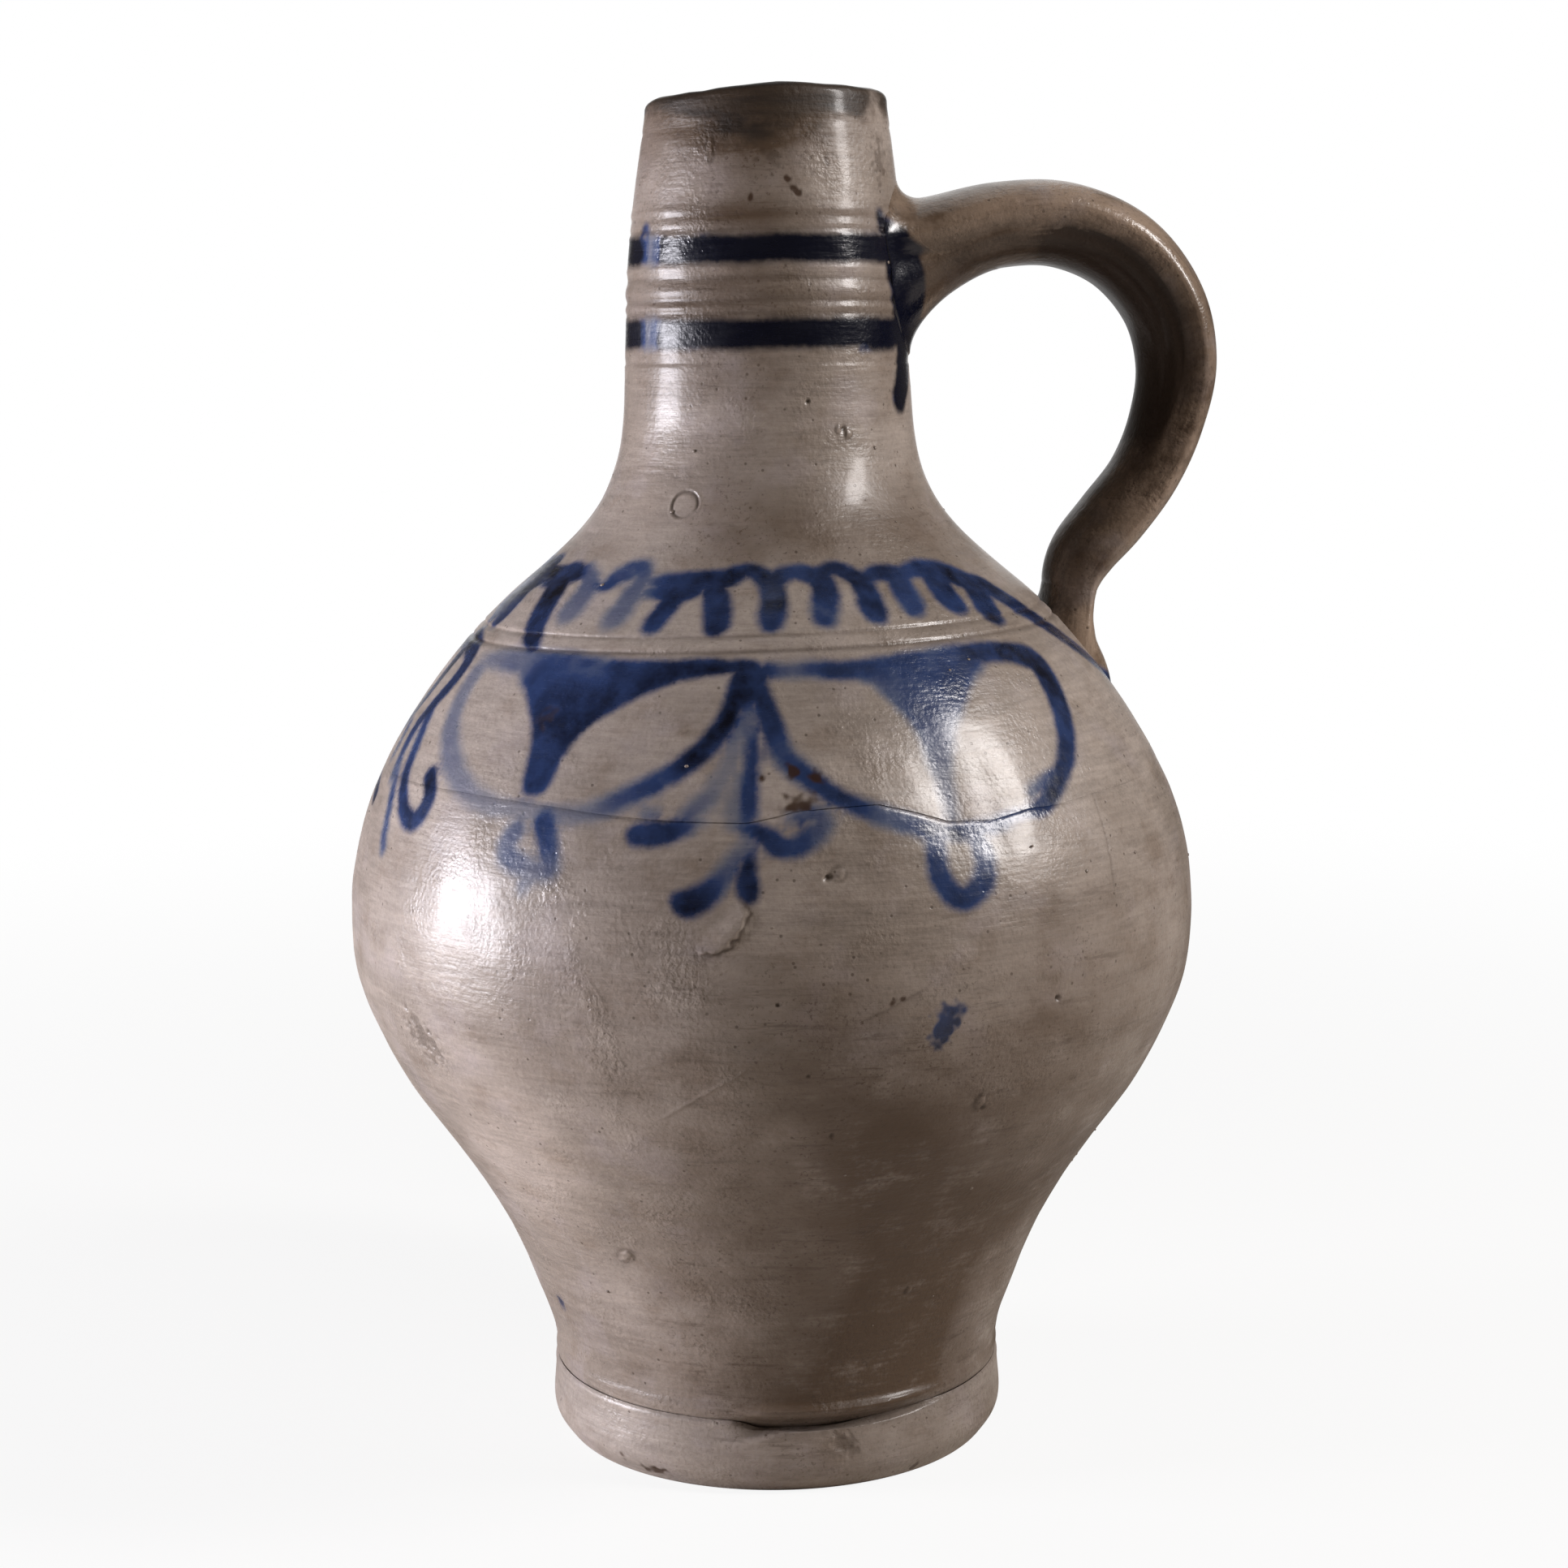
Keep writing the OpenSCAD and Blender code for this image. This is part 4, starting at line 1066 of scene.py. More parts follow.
class WheelThrowing:
    """Geometry Nodes tree that turns an outline round the axis and leaves the throwing ridges in the clay."""

    def __init__(self) -> None:
        """Build the tree once, with named inputs."""
        tree = bpy.data.node_groups.new("throw_on_wheel", "GeometryNodeTree")
        face = tree.interface
        face.new_socket("Outline", in_out="INPUT", socket_type="NodeSocketGeometry")
        for name, kind in (("Rows", "NodeSocketInt"), ("Columns", "NodeSocketInt"), ("Ridge Height", "NodeSocketFloat"),
                           ("Ridge Spacing", "NodeSocketFloat"), ("Seed", "NodeSocketFloat"),
                           ("Clay", "NodeSocketMaterial")):  # fmt: skip
            face.new_socket(name, in_out="INPUT", socket_type=kind)
        face.new_socket("Jug", in_out="OUTPUT", socket_type="NodeSocketGeometry")

        def scalar(operation: str, *values: Any) -> bpy.types.NodeSocket:
            """Output of a Math node on the given values or sockets."""
            return add_node(tree, "ShaderNodeMath", dict(enumerate(values)), operation=operation).outputs[0]

        source = add_node(tree, "NodeGroupInput").outputs
        last_row = scalar("SUBTRACT", source["Rows"], 1.0)
        grid = add_node(
            tree,
            "GeometryNodeMeshGrid",
            {"Size X": 1.0, "Size Y": 1.0, "Vertices X": source["Rows"], "Vertices Y": scalar("ADD", source["Columns"], 1.0)},
        )
        flat = add_node(tree, "ShaderNodeSeparateXYZ", {0: add_node(tree, "GeometryNodeInputPosition").outputs[0]}).outputs
        row = scalar("ROUND", scalar("MULTIPLY", scalar("ADD", flat[0], 0.5), last_row))
        angle = scalar("MULTIPLY", scalar("ADD", flat[1], 0.5), 2 * math.pi)
        place = add_node(tree, "GeometryNodeInputPosition").outputs[0]
        read = add_node(
            tree,
            "GeometryNodeSampleIndex",
            {"Geometry": source["Outline"], "Value": place, "Index": row},
            data_type="FLOAT_VECTOR",
            domain="POINT",
        )
        outline = add_node(tree, "ShaderNodeSeparateXYZ", {0: read.outputs[0]}).outputs
        cos, sin = scalar("COSINE", angle), scalar("SINE", angle)
        # The ridges climb slowly as the hands rise, so the pattern is sampled on a slow helix
        climb = scalar("DIVIDE", outline[2], source["Ridge Spacing"])
        where = add_node(
            tree, "ShaderNodeCombineXYZ", {0: scalar("MULTIPLY", cos, 0.35), 1: scalar("MULTIPLY", sin, 0.35), 2: climb}
        ).outputs[0]
        wave = add_node(
            tree,
            "ShaderNodeTexNoise",
            {"Vector": where, "W": source["Seed"], "Scale": 1.0, "Detail": 2.0, "Roughness": 0.5},
            noise_dimensions="4D",
        ).outputs[0]
        # Ridges fade out toward the axis, where the base is cut flat
        fade = scalar("MINIMUM", scalar("DIVIDE", outline[0], 12 * MM), 1.0)
        ridge = scalar("MULTIPLY", scalar("MULTIPLY", scalar("SUBTRACT", wave, 0.75), source["Ridge Height"]), fade)
        radius = scalar("ADD", outline[0], scalar("MULTIPLY", ridge, scalar("GREATER_THAN", outline[0], 1e-7)))
        turned = add_node(
            tree,
            "ShaderNodeCombineXYZ",
            {0: scalar("MULTIPLY", radius, cos), 1: scalar("MULTIPLY", radius, sin), 2: outline[2]},
        ).outputs[0]
        moved = add_node(tree, "GeometryNodeSetPosition", {"Geometry": grid.outputs[0], "Position": turned})
        closed = add_node(tree, "GeometryNodeMergeByDistance", {"Geometry": moved.outputs[0], "Distance": 2e-7})
        real = add_node(tree, "GeometryNodeRealizeInstances", {0: closed.outputs[0]})
        clothed = add_node(tree, "GeometryNodeSetMaterial", {"Geometry": real.outputs[0], "Material": source["Clay"]})
        add_node(tree, "NodeGroupOutput", {0: clothed.outputs[0]})
        self.tree = tree

    def throw(
        self, name: str, outline: Line, columns: int, ridge: float, spacing: float, seed: float, clay: bpy.types.Material
    ) -> bpy.types.Mesh:
        """Turn an outline into a plain mesh.

        Args:
            name: Name of the mesh.
            outline: Rows of radius and height, in millimetres.
            columns: Number of columns round the jug.
            ridge: Height of the throwing ridges, in millimetres.
            spacing: Distance between ridges, in millimetres.
            seed: Seed of the ridges.
            clay: Material of the piece.

        Returns:
            The turned mesh, closed and facing outward.
        """
        line = bpy.data.meshes.new(name + "_outline")
        rows = [(r * MM, 0.0, z * MM) for r, z in outline]
        line.from_pydata(rows, [(i, i + 1) for i in range(len(rows) - 1)], [])
        carrier = bpy.data.objects.new(name + "_wheel", line)
        bpy.context.scene.collection.objects.link(carrier)
        wheel = carrier.modifiers.new("throwing", "NODES")
        wheel.node_group = self.tree
        values = {"Rows": len(rows), "Columns": columns, "Ridge Height": ridge * MM, "Ridge Spacing": spacing * MM,
                  "Seed": seed, "Clay": clay}  # fmt: skip
        fill_inputs(wheel, values)
        mesh = plain_mesh(carrier, name)
        closed_outward(mesh)
        return mesh


def fill_inputs(modifier: bpy.types.Modifier, values: dict[str, Any]) -> None:
    """Set a Geometry Nodes modifier's inputs by their socket identifiers.

    Args:
        modifier: Modifier that holds the tree.
        values: Value for each input, by its plain name.
    """
    for item in modifier.node_group.interface.items_tree:
        if item.item_type == "SOCKET" and item.in_out == "INPUT" and item.name in values:
            modifier[item.identifier] = values[item.name]


def plain_mesh(carrier: bpy.types.Object, name: str) -> bpy.types.Mesh:
    """Turn a carrier's evaluated shape into a plain mesh, and remove the carrier.

    Args:
        carrier: Object with a live modifier.
        name: Name of the new mesh.

    Returns:
        The mesh, with nothing live on it.
    """
    graph = bpy.context.evaluated_depsgraph_get()
    mesh = bpy.data.meshes.new_from_object(carrier.evaluated_get(graph), depsgraph=graph)
    mesh.name = name
    bpy.data.objects.remove(carrier)
    return mesh


def show(mesh: bpy.types.Mesh, clay: bpy.types.Material, slot: ClaySlot, *nodes: str) -> bpy.types.Object:
    """Make a mesh a piece of the jug.

    Args:
        mesh: Finished mesh.
        clay: Its material.
        slot: Slot of the record for the piece; not used.
        nodes: CAD nodes that it stands for.

    Returns:
        The new object, riding on the jug's only body.
    """
    mesh.set_sharp_from_angle(angle=math.radians(50))
    mesh.materials.clear()
    mesh.materials.append(clay)
    piece = bpy.data.objects.new(mesh.name, mesh)
    bpy.context.scene.collection.objects.link(piece)
    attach(piece, BODY)
    if nodes:
        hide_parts(*nodes)
    log.info("%s: %d faces", piece.name, len(mesh.polygons))
    return piece


@dataclass(frozen=True)
class Seam:
    """Wavy lap where the upper thrown section sits on the lower one."""

    height: float = 153.984
    proud: float = 0.4
    fade: float = 7.0
    reach: float = 8.0
    sway: Stations = (
        (-180, 0.6), (-146, 1.4), (-134, 1.1), (-128, 0.7), (-120, -0.2), (-112, -0.8), (-101, -1.0), (-97.5, 0.1),
        (-95, 1.1), (-91, 1.6), (-84, 2.1), (-79, 0.2), (-74, -2.2), (-67, -2.8), (-61, -1.4), (-56, -1.6),
        (-45, -0.5), (0, 0.3), (60, -0.6), (120, 0.5),
    )  # fmt: skip

    def stand(self, az: np.ndarray) -> np.ndarray:
        """How clearly the lap still shows at each azimuth, where 1 is clearest."""
        wave = 0.5 + 0.5 * np.sin(np.radians(5 * az + 20)) * np.cos(np.radians(3 * az))
        front = ease(-152, -138, az) * ease(-54, -62, az)
        ledge = ease(-92, -78, az)
        return 0.02 + 0.15 * wave**2 + front * (0.22 + 0.1 * wave + 0.02 * ledge)

    def rise(self, az: np.ndarray) -> np.ndarray:
        """Rise of the seam above its mean height, at each azimuth."""
        at = np.array(self.sway)
        return np.interp(az, at[:, 0], at[:, 1], period=360)

    def bend(self, co: np.ndarray) -> np.ndarray:
        """Let the clay on both sides of the seam follow its wave.

        Args:
            co: Points in millimetres.

        Returns:
            The moved points.
        """
        az = np.degrees(np.arctan2(co[:, 1], co[:, 0]))
        co = co.copy()
        co[:, 2] += self.rise(az) * hump(co[:, 2], self.height, self.reach)
        return co


@dataclass(frozen=True)
class TurnedLines:
    """Ridges and grooves turned round the neck, and two lines scratched round the shoulder."""

    neck: Stations = (
        (273.4, 0.26, 0.55), (271.9, -0.26, 0.6), (269.3, -0.34, 0.4), (268.5, 0.24, 0.35), (261.3, 0.24, 0.45),
        (259.1, -0.42, 0.75), (256.6, 0.42, 1.0), (254.6, -0.5, 0.55), (253.2, 0.26, 0.4), (251.9, -0.36, 0.4),
        (241.5, -0.3, 0.35), (240.7, 0.12, 0.35), (291.9, -0.3, 0.6), (293.4, 0.1, 0.7),
    )  # fmt: skip
    shoulder: Stations = (
        (187.0, -0.44, 0.3), (187.7, 0.07, 0.3), (184.2, -0.48, 0.32), (183.5, 0.07, 0.3),
    )  # fmt: skip
    neck_share: float = 0.5
    shoulder_tilt: float = 1.6

    def relief(self, az: np.ndarray, z: np.ndarray) -> np.ndarray:
        """Height of the lines above the plain surface, in millimetres.

        Args:
            az: Azimuths of the points.
            z: Their heights.

        Returns:
            Height added at each point.
        """
        total = np.zeros(len(z))
        for mid, height, width in self.neck:
            total += self.neck_share * height * hump(z, mid, width)
        tilt = self.shoulder_tilt * np.sin(np.radians(az + 98))
        for mid, height, width in self.shoulder:
            total += height * hump(z - tilt, mid, width)
        return total

    def dirt_and_shade(self, az: np.ndarray, z: np.ndarray) -> np.ndarray:
        """Dirt left in the deepest lines, at each point."""
        front = 0.5 + 0.5 * np.cos(np.radians(az + 92))
        tilt = self.shoulder_tilt * np.sin(np.radians(az + 98))
        scratched = 0.6 * hump(z - tilt, 184.2, 0.26) + 0.3 * hump(z - tilt, 187.0, 0.26)
        turned = sum(0.4 * hump(z, mid, 0.4) for mid in (254.6, 259.1, 251.9, 269.3))
        return (scratched + turned) * (0.35 + 0.65 * front)


@dataclass
class JugBody:
    """The thrown body: lower section, upper section and the clay band lapped round the foot."""

    wheel: WheelThrowing
    profile: JugProfile = field(default_factory=JugProfile)
    brush: Brushwork = field(default_factory=Brushwork)
    wear: Wear = field(default_factory=Wear)
    seam: Seam = field(default_factory=Seam)
    lines: TurnedLines = field(default_factory=TurnedLines)
    lower_columns: int = 424
    upper_columns: int = 344
    foot_columns: int = 400
    outer_ridge: float = 0.22
    ridge_spacing: float = 5.5
    rim_drop: Stations = (
        (-160, 1.9), (-129.5, 1.75), (-113.4, 0.85), (-91.4, 0.15), (-75, 0.1), (-59, 0.35), (-36, 0.5), (0, 0.7),
        (60, 0.9), (120, 1.5), (170, 2.1),
    )  # fmt: skip
    mark_cuts: int = 3
    gap_az: tuple[float, float, float] = (-107.0, -93.0, -62.0)
    gap_depth: float = 1.2
    gap_open: float = 2.6
    bead: float = 1.5
    crease_fill: float = 0.8

    def __post_init__(self) -> None:
        """Measure the surface that everything is painted and pressed on."""
        self.surface = Surface(self.profile)
        self.broad = ClayNoise(21, 70)
        self.fine = ClayNoise(22, 14)

    def azimuths(self, co: np.ndarray) -> np.ndarray:
        """Azimuth of each point, in degrees."""
        return np.degrees(np.arctan2(co[:, 1], co[:, 0]))

    def on_outside(self, co: np.ndarray, depth: float = 2.4) -> np.ndarray:
        """Share of each point that belongs to the outside of the wall, 1 outside and 0 inside."""
        r = np.hypot(co[:, 0], co[:, 1])
        return ease(depth, depth * 0.5, self.surface.radius(co[:, 2]) - r)

    def push(self, co: np.ndarray, height: np.ndarray) -> np.ndarray:
        """Move points in or out from the axis by a height in millimetres."""
        r = np.maximum(np.hypot(co[:, 0], co[:, 1]), 1e-6)
        out = co.copy()
        out[:, :2] *= ((r + height) / r)[:, None]
        return out

    def soil_and_shading(self, co: np.ndarray) -> np.ndarray:
        """Where brown staining lies: below the rim, on the neck, low on the belly, kept off the left partly as painted
        light. Below 0 the clay is paler: round the foot band, at two painted-light patches on the left and at a painted
        highlight high on the neck.
        """
        az, z = self.azimuths(co), co[:, 2]
        front = 0.5 + 0.5 * np.cos(np.radians(az + 92))
        middle = hump(turn(az + 102), 0, 34)
        upper = (0.45 + (0.2 + 0.7 * middle) * ease(276, 292, z)) * ease(262, 275, z) * (0.3 + 0.7 * front)
        grooves = (0.6 * hump(z, 272, 2.2) + 0.45 * hump(z, 238, 5)) * ease(0.6, 0.95, front)
        # Paler patch high on the right of the neck: painted highlight.
        bloom_and_highlight = -0.5 * hump(z, 281, 5) * hump(az, -70, 14)
        neck = 0.8 * hump(z, 254, 6) * ease(0.2, 0.9, front)
        # Shoulder and low-belly staining, faded out toward the left where the left lamp falls: partly real staining,
        # partly painted light.
        shoulder = 0.7 * hump(z, 206, 7) * front * ease(-145, -108, az) + 0.1 * hump(z, 187, 9) * front
        side = ease(-150, -102, az) * ease(50, 0, az)
        low = (0.6 + 0.3 * ease(112, 62, z)) * ease(144, 104, z) * side + 0.2 * hump(z, 72, 16) * hump(az, -64, 16)
        foot = -0.55 * ease(20, 14, z)
        # Two paler patches on the left, low on the belly and on the shoulder, where the left lamp falls: painted light.
        painted_light = -0.6 * hump(z, 66, 26) * hump(turn(az + 136), 0, 14) - 0.3 * hump(z, 204, 12) * hump(turn(az + 138), 0, 14)
        stained = upper + grooves + bloom_and_highlight + neck + shoulder + low + foot + 0.25 * self.broad.at(co)
        return np.clip(np.maximum(stained, 0) + painted_light, -0.5, 1)

    def soot(self, co: np.ndarray) -> np.ndarray:
        """Where the rim is burnt and worn dark, deepest at the front left."""
        az, z = self.azimuths(co), co[:, 2]
        side = hump(turn(az + 112), 0, 38)
        start = 292.2 + 0.8 * ease(-140, -160, az) + 0.5 * self.fine.at(co)
        worn = 0.30 * self.fine.at(co) * (1 - side)
        smoke = 0.62 * ease(274, 292, z) * hump(turn(az + 104), 0, 34)
        return np.clip(np.maximum(ease(-3.6, 4.2, z - start) * (0.62 + 0.5 * side + worn), smoke), 0, 1)

    def dress(self, mesh: bpy.types.Mesh, marks: Iterable[Mark], dark_inside: float = 0.6) -> None:
        """Press the marks and store everything that the finish reads.

        Args:
            mesh: Mesh whose points are in place, apart from the marks.
            marks: Marks that fall on this piece.
            dark_inside: Staining of the inner side of the wall.
        """
        co = points_of(mesh)
        outside = self.on_outside(co)
        lift, tint = self.wear.press(self.surface, co, marks)
        edge, load = self.brush.lay(self.surface, co)
        stray = tint["blot"]
        load = np.where(stray < edge, 0.95, load)
        edge = np.minimum(edge, stray)
        store(mesh, "stroke_edge", np.where(outside > 0.5, edge, FAR))
        store(mesh, "cobalt_load", load)
        store(mesh, "soil_and_shading", np.where(outside > 0.5, self.soil_and_shading(co), dark_inside))
        store(mesh, "soot", self.soot(co))
        store(mesh, "rust", tint["rust"] * outside)
        lines = self.lines.dirt_and_shade(self.azimuths(co), co[:, 2])
        # Dirt of the marks and lines, with painted shade in the foot slot and under the scar's lifted edge.
        store(mesh, "dirt_and_shade", np.maximum(np.maximum(tint["dirt_and_shade"], self.slot_shade(co)), lines) * outside)
        store(mesh, "pulled", co * np.array([0.11, 0.11, 1.0]))
        move_points(mesh, self.push(co, lift * outside))

    def slot_shade(self, co: np.ndarray) -> np.ndarray:
        """Painted shade in the slot under the lifted edge of the foot band and on the recessed shelf above the flap,
        and a dark line along the crease.
        """
        az, z = self.azimuths(co), co[:, 2]
        deep_shade = hump(z, self.profile.waist_z - 2.3, 0.8) * self.lap_share(az) * (0.55 + 0.45 * hump(az, -90, 16))
        shelf_shade = 0.4 * ease(11.6, 13.6, z) * ease(17.5, 16, z) * ease(-108, -103, az) * ease(-90, -97, az)
        line = 0.4 * hump(z, self.profile.waist_z - 1.6, 0.35) * (0.1 + 0.9 * self.lap_share(az))
        return np.clip(np.maximum(np.maximum(deep_shade, shelf_shade), line), 0, 1)

    def lower_outline(self) -> Line:
        """Closed outline of the lower section, from the axis under the base to the axis inside it."""
        p = self.profile
        body, wall = p.body_line(), p.wall_line()
        crease = np.array(p.band_top)
        seat = np.array([[p.core_r, 0.0], [p.core_r, p.waist_z * p.band_seat_share], crease])
        outer = np.vstack([crease[None], body[(body[:, 1] > p.waist_z - 0.2) & (body[:, 1] < p.seam_z)]])
        seam_out = np.array([[np.interp(p.seam_z, body[:, 1], body[:, 0]), p.seam_z]])
        top = p.seam_z + p.seam_rise
        seam_in = np.array([[np.interp(top, wall[:, 1], wall[:, 0]), top]])
        inner = np.vstack([seam_in, wall[(wall[:, 1] > p.waist_z) & (wall[:, 1] < top)][::-1]])
        corner = np.array([[np.interp(p.waist_z, wall[:, 1], wall[:, 0]) - p.wall / 3, p.base + p.wall / 2],
                           [p.core_r - p.wall / 2, p.base]])  # fmt: skip
        return np.vstack(
            [
                spaced(np.array([[0.0, 0.0], [p.core_r, 0.0]]), 2.2),
                spaced(seat, 1.6)[1:],
                spaced(outer[outer[:, 1] < 24], 0.5)[1:],
                spaced(np.vstack([outer[outer[:, 1] >= 24], seam_out]), 1.22),
                spaced(np.vstack([seam_out, seam_in]), 2.0)[1:],
                spaced(inner, 8.0)[1:],
                spaced(np.vstack([inner[-1:], corner]), 2.5)[1:],
                spaced(np.array([corner[-1], [0.0, p.base]]), 6.0)[1:],
            ]
        )

    def upper_outline(self) -> Line:
        """Closed outline of the upper section, once round from the seam over the lip and back."""
        p = self.profile
        body, wall = p.body_line(), p.wall_line()
        seam_out = np.array([[np.interp(p.seam_z, body[:, 1], body[:, 0]), p.seam_z]])
        shell = np.vstack([seam_out, body[(body[:, 1] > p.seam_z) & (body[:, 1] < p.lip_z)]])
        cut = lambda low, high: shell[(shell[:, 1] >= low) & (shell[:, 1] < high)]
        zones = ((0, 180.5, 1.16), (180.5, 190.5, 0.42), (190.5, 212, 1.05), (212, 239.5, 1.3), (239.5, 243, 0.44),
                 (243, 250.8, 1.0), (250.8, 262.6, 0.44), (262.6, 267.8, 1.0), (267.8, 275, 0.44), (275, 299, 1.05))  # fmt: skip
        outer = [spaced(cut(low, high), step) for low, high, step in zones]
        angles = np.linspace(0, math.pi, 13)
        mid = p.mouth_r + p.lip_r
        square = lambda v: np.sign(v) * np.abs(v) ** 0.62
        lip = np.stack([mid + p.lip_r * square(np.cos(angles)), p.lip_z + p.lip_r * square(np.sin(angles))], 1)
        bore = np.array([lip[-1], [p.mouth_r, p.lip_z - p.mouth_len]])
        top = p.seam_z + p.seam_rise
        seam_in = np.array([[np.interp(top, wall[:, 1], wall[:, 0]), top]])
        below = p.lip_z - p.mouth_len - p.wall
        inner = wall[(wall[:, 1] > top) & (wall[:, 1] < below)][::-1]
        return np.vstack(
            [
                *outer,
                lip,
                spaced(bore, 3.0)[1:],
                spaced(np.vstack([bore[-1:], inner[:1]]), 2.2)[1:],
                spaced(np.vstack([inner, seam_in]), 8.0)[1:],
                spaced(np.vstack([seam_in, seam_out]), 2.0)[1:],
            ]
        )

    def foot_outline(self) -> Line:
        """Closed outline of the foot band, once round."""
        p = self.profile
        edge_r = p.foot_r * p.foot_edge_share
        band = p.band_line()
        seat = np.array([p.band_top, [p.core_r, p.waist_z * p.band_seat_share], [p.core_r, 0.0]])
        return np.vstack(
            [
                spaced(band, 0.55),
                spaced(seat[:2], 1.6)[1:],
                spaced(seat[1:], 2.2)[1:],
                spaced(np.array([[p.core_r, 0.0], [edge_r + 0.35, 0.0]]), 1.5)[1:],
            ]
        )

    def uneven(self, co: np.ndarray) -> np.ndarray:
        """Small dips of the hand-thrown wall, all inward so that the jug keeps its size."""
        dips = 0.16 * (1 + self.broad.at(co)) + 0.05 * (1 + self.fine.at(co))
        return self.push(co, -np.clip(dips, 0, 0.5) * self.on_outside(co))

    def build_lower(self, clay: bpy.types.Material) -> bpy.types.Object:
        """Throw and dress the lower section.

        Args:
            clay: Material of the section.

        Returns:
            The piece.
        """
        p = self.profile
        mesh = self.wheel.throw("lower_section", self.lower_outline(), self.lower_columns, self.outer_ridge, self.ridge_spacing, 1.0, clay)
        spots = self.wear.spots(self.surface, self.wear.marks, 20, p.seam_z - 2)
        refine_near(mesh, spots, self.mark_cuts)
        co = self.uneven(points_of(mesh))
        az, z = self.azimuths(co), co[:, 2]
        lap = self.lap_share(az)
        crest = z - p.waist_z - 1.0
        low_bead = self.bead * np.where(crest > 0, hump(crest, 0, 0.65), hump(crest, 0, 1.3)) * lap
        thread = 0.28 * hump(z, p.waist_z + 1.2, 0.7) * (1 - lap)
        filled = self.crease_fill * hump(z, p.waist_z - 1.5, 1.2) * (1 - lap)
        co = self.push(co, (low_bead + thread + filled) * self.on_outside(co))
        co[:, 2] += self.wire_marks(co)
        co = self.seam.bend(co)
        move_points(mesh, co)
        self.dress(mesh, [m for m in self.wear.marks if 20 < m.z < p.seam_z - 2])
        return show(mesh, clay, ClaySlot.LOWER, "lower_body")

    def wire_marks(self, co: np.ndarray) -> np.ndarray:
        """Curved drag lines left under the base by the cutting wire, pressed upward into it."""
        r = np.hypot(co[:, 0], co[:, 1])
        arcs = np.hypot(co[:, 0] - 70.0, co[:, 1] + 12.0)
        under = (co[:, 2] < 0.01) & (r < self.profile.core_r - 1)
        return np.where(under, 0.28 * (0.5 + 0.5 * np.sin(arcs * 2 * math.pi / 5.2)) * ease(42, 36, r), 0.0)

    def lap_share(self, az: np.ndarray) -> np.ndarray:
        """How far the foot band's edge has lifted at each azimuth, 0 to 1."""
        start, full, end = self.gap_az
        return ease(start - 3, start + 6, az) * (0.25 + 0.75 * ease(end + 12, end - 10, az)) * ease(-25, -40, az)

    def build_upper(self, clay: bpy.types.Material) -> bpy.types.Object:
        """Throw and dress the upper section.

        Args:
            clay: Material of the section.

        Returns:
            The piece.
        """
        p = self.profile
        mesh = self.wheel.throw("upper_section", self.upper_outline(), self.upper_columns, self.outer_ridge * 0.6, self.ridge_spacing, 2.0, clay)
        marks = [m for m in self.wear.marks if m.z > p.seam_z + 1.5]
        refine_near(mesh, self.wear.spots(self.surface, marks, p.seam_z, p.jug_h), self.mark_cuts)
        co = self.uneven(points_of(mesh))
        az, z = self.azimuths(co), co[:, 2]
        stand = self.seam.proud * self.seam.stand(az)
        proud = stand * ease(p.seam_z + self.seam.fade, p.seam_z, z)
        co = self.push(co, (proud + self.lines.relief(az, z)) * self.on_outside(co))
        co = self.seam.bend(co)
        # The lip has slumped on the side away from the handle, and its edge is worn uneven
        drop = np.array(self.rim_drop)
        lean = np.interp(az, drop[:, 0], drop[:, 1], period=360)
        chips = 0.22 * np.clip(self.fine.at(co * np.array([1.0, 1.0, 0.0])), -0.4, 1.0)
        co[:, 2] -= ease(276, p.jug_h, z) * (lean + (chips + 0.09) * ease(296, 299.5, z))
        move_points(mesh, co)
        self.dress(mesh, marks)
        return show(mesh, clay, ClaySlot.UPPER, "upper_body")

    def build_foot(self, clay: bpy.types.Material) -> bpy.types.Object:
        """Throw and dress the foot band, with its lifted edge.

        Args:
            clay: Material of the band.

        Returns:
            The piece.
        """
        p = self.profile
        mesh = self.wheel.throw("foot_band_clay", self.foot_outline(), self.foot_columns, 0.1, 4.0, 3.0, clay)
        refine_near(mesh, self.wear.spots(self.surface, self.wear.foot_marks, 1.5, 14), self.mark_cuts)
        co = points_of(mesh)
        az, z = self.azimuths(co), co[:, 2]
        start, full, end = self.gap_az
        # Edge of the flap: it starts low at the left end of the gap and climbs to the crease
        flap = np.interp(az, [start, full, end, end + 12], [12.2, 15.0, 15.8, 16.4])
        lap = self.lap_share(az)
        behind = ease(flap - 0.35, flap + 0.35, z) * ease(start - 4, start + 9, az) * ease(end + 12, end - 2, az)
        outside = self.on_outside(co)
        lip = 0.18 * hump(z, 0, 1.0) + 0.2 * hump(z - flap, -0.9, 0.7) * lap
        filled = self.crease_fill * hump(z, p.waist_z - 1.5, 1.2) * (1 - lap)
        co = self.push(co, (lip + filled - self.gap_depth * behind - 0.10) * outside)
        wide = self.gap_open * (0.35 + 0.65 * hump(az, full, 12))
        co[:, 2] -= lap * wide * ease(14.0, 16.4, z)
        move_points(mesh, co)
        self.dress(mesh, self.wear.foot_marks)
        return show(mesh, clay, ClaySlot.FOOT, "foot_band")


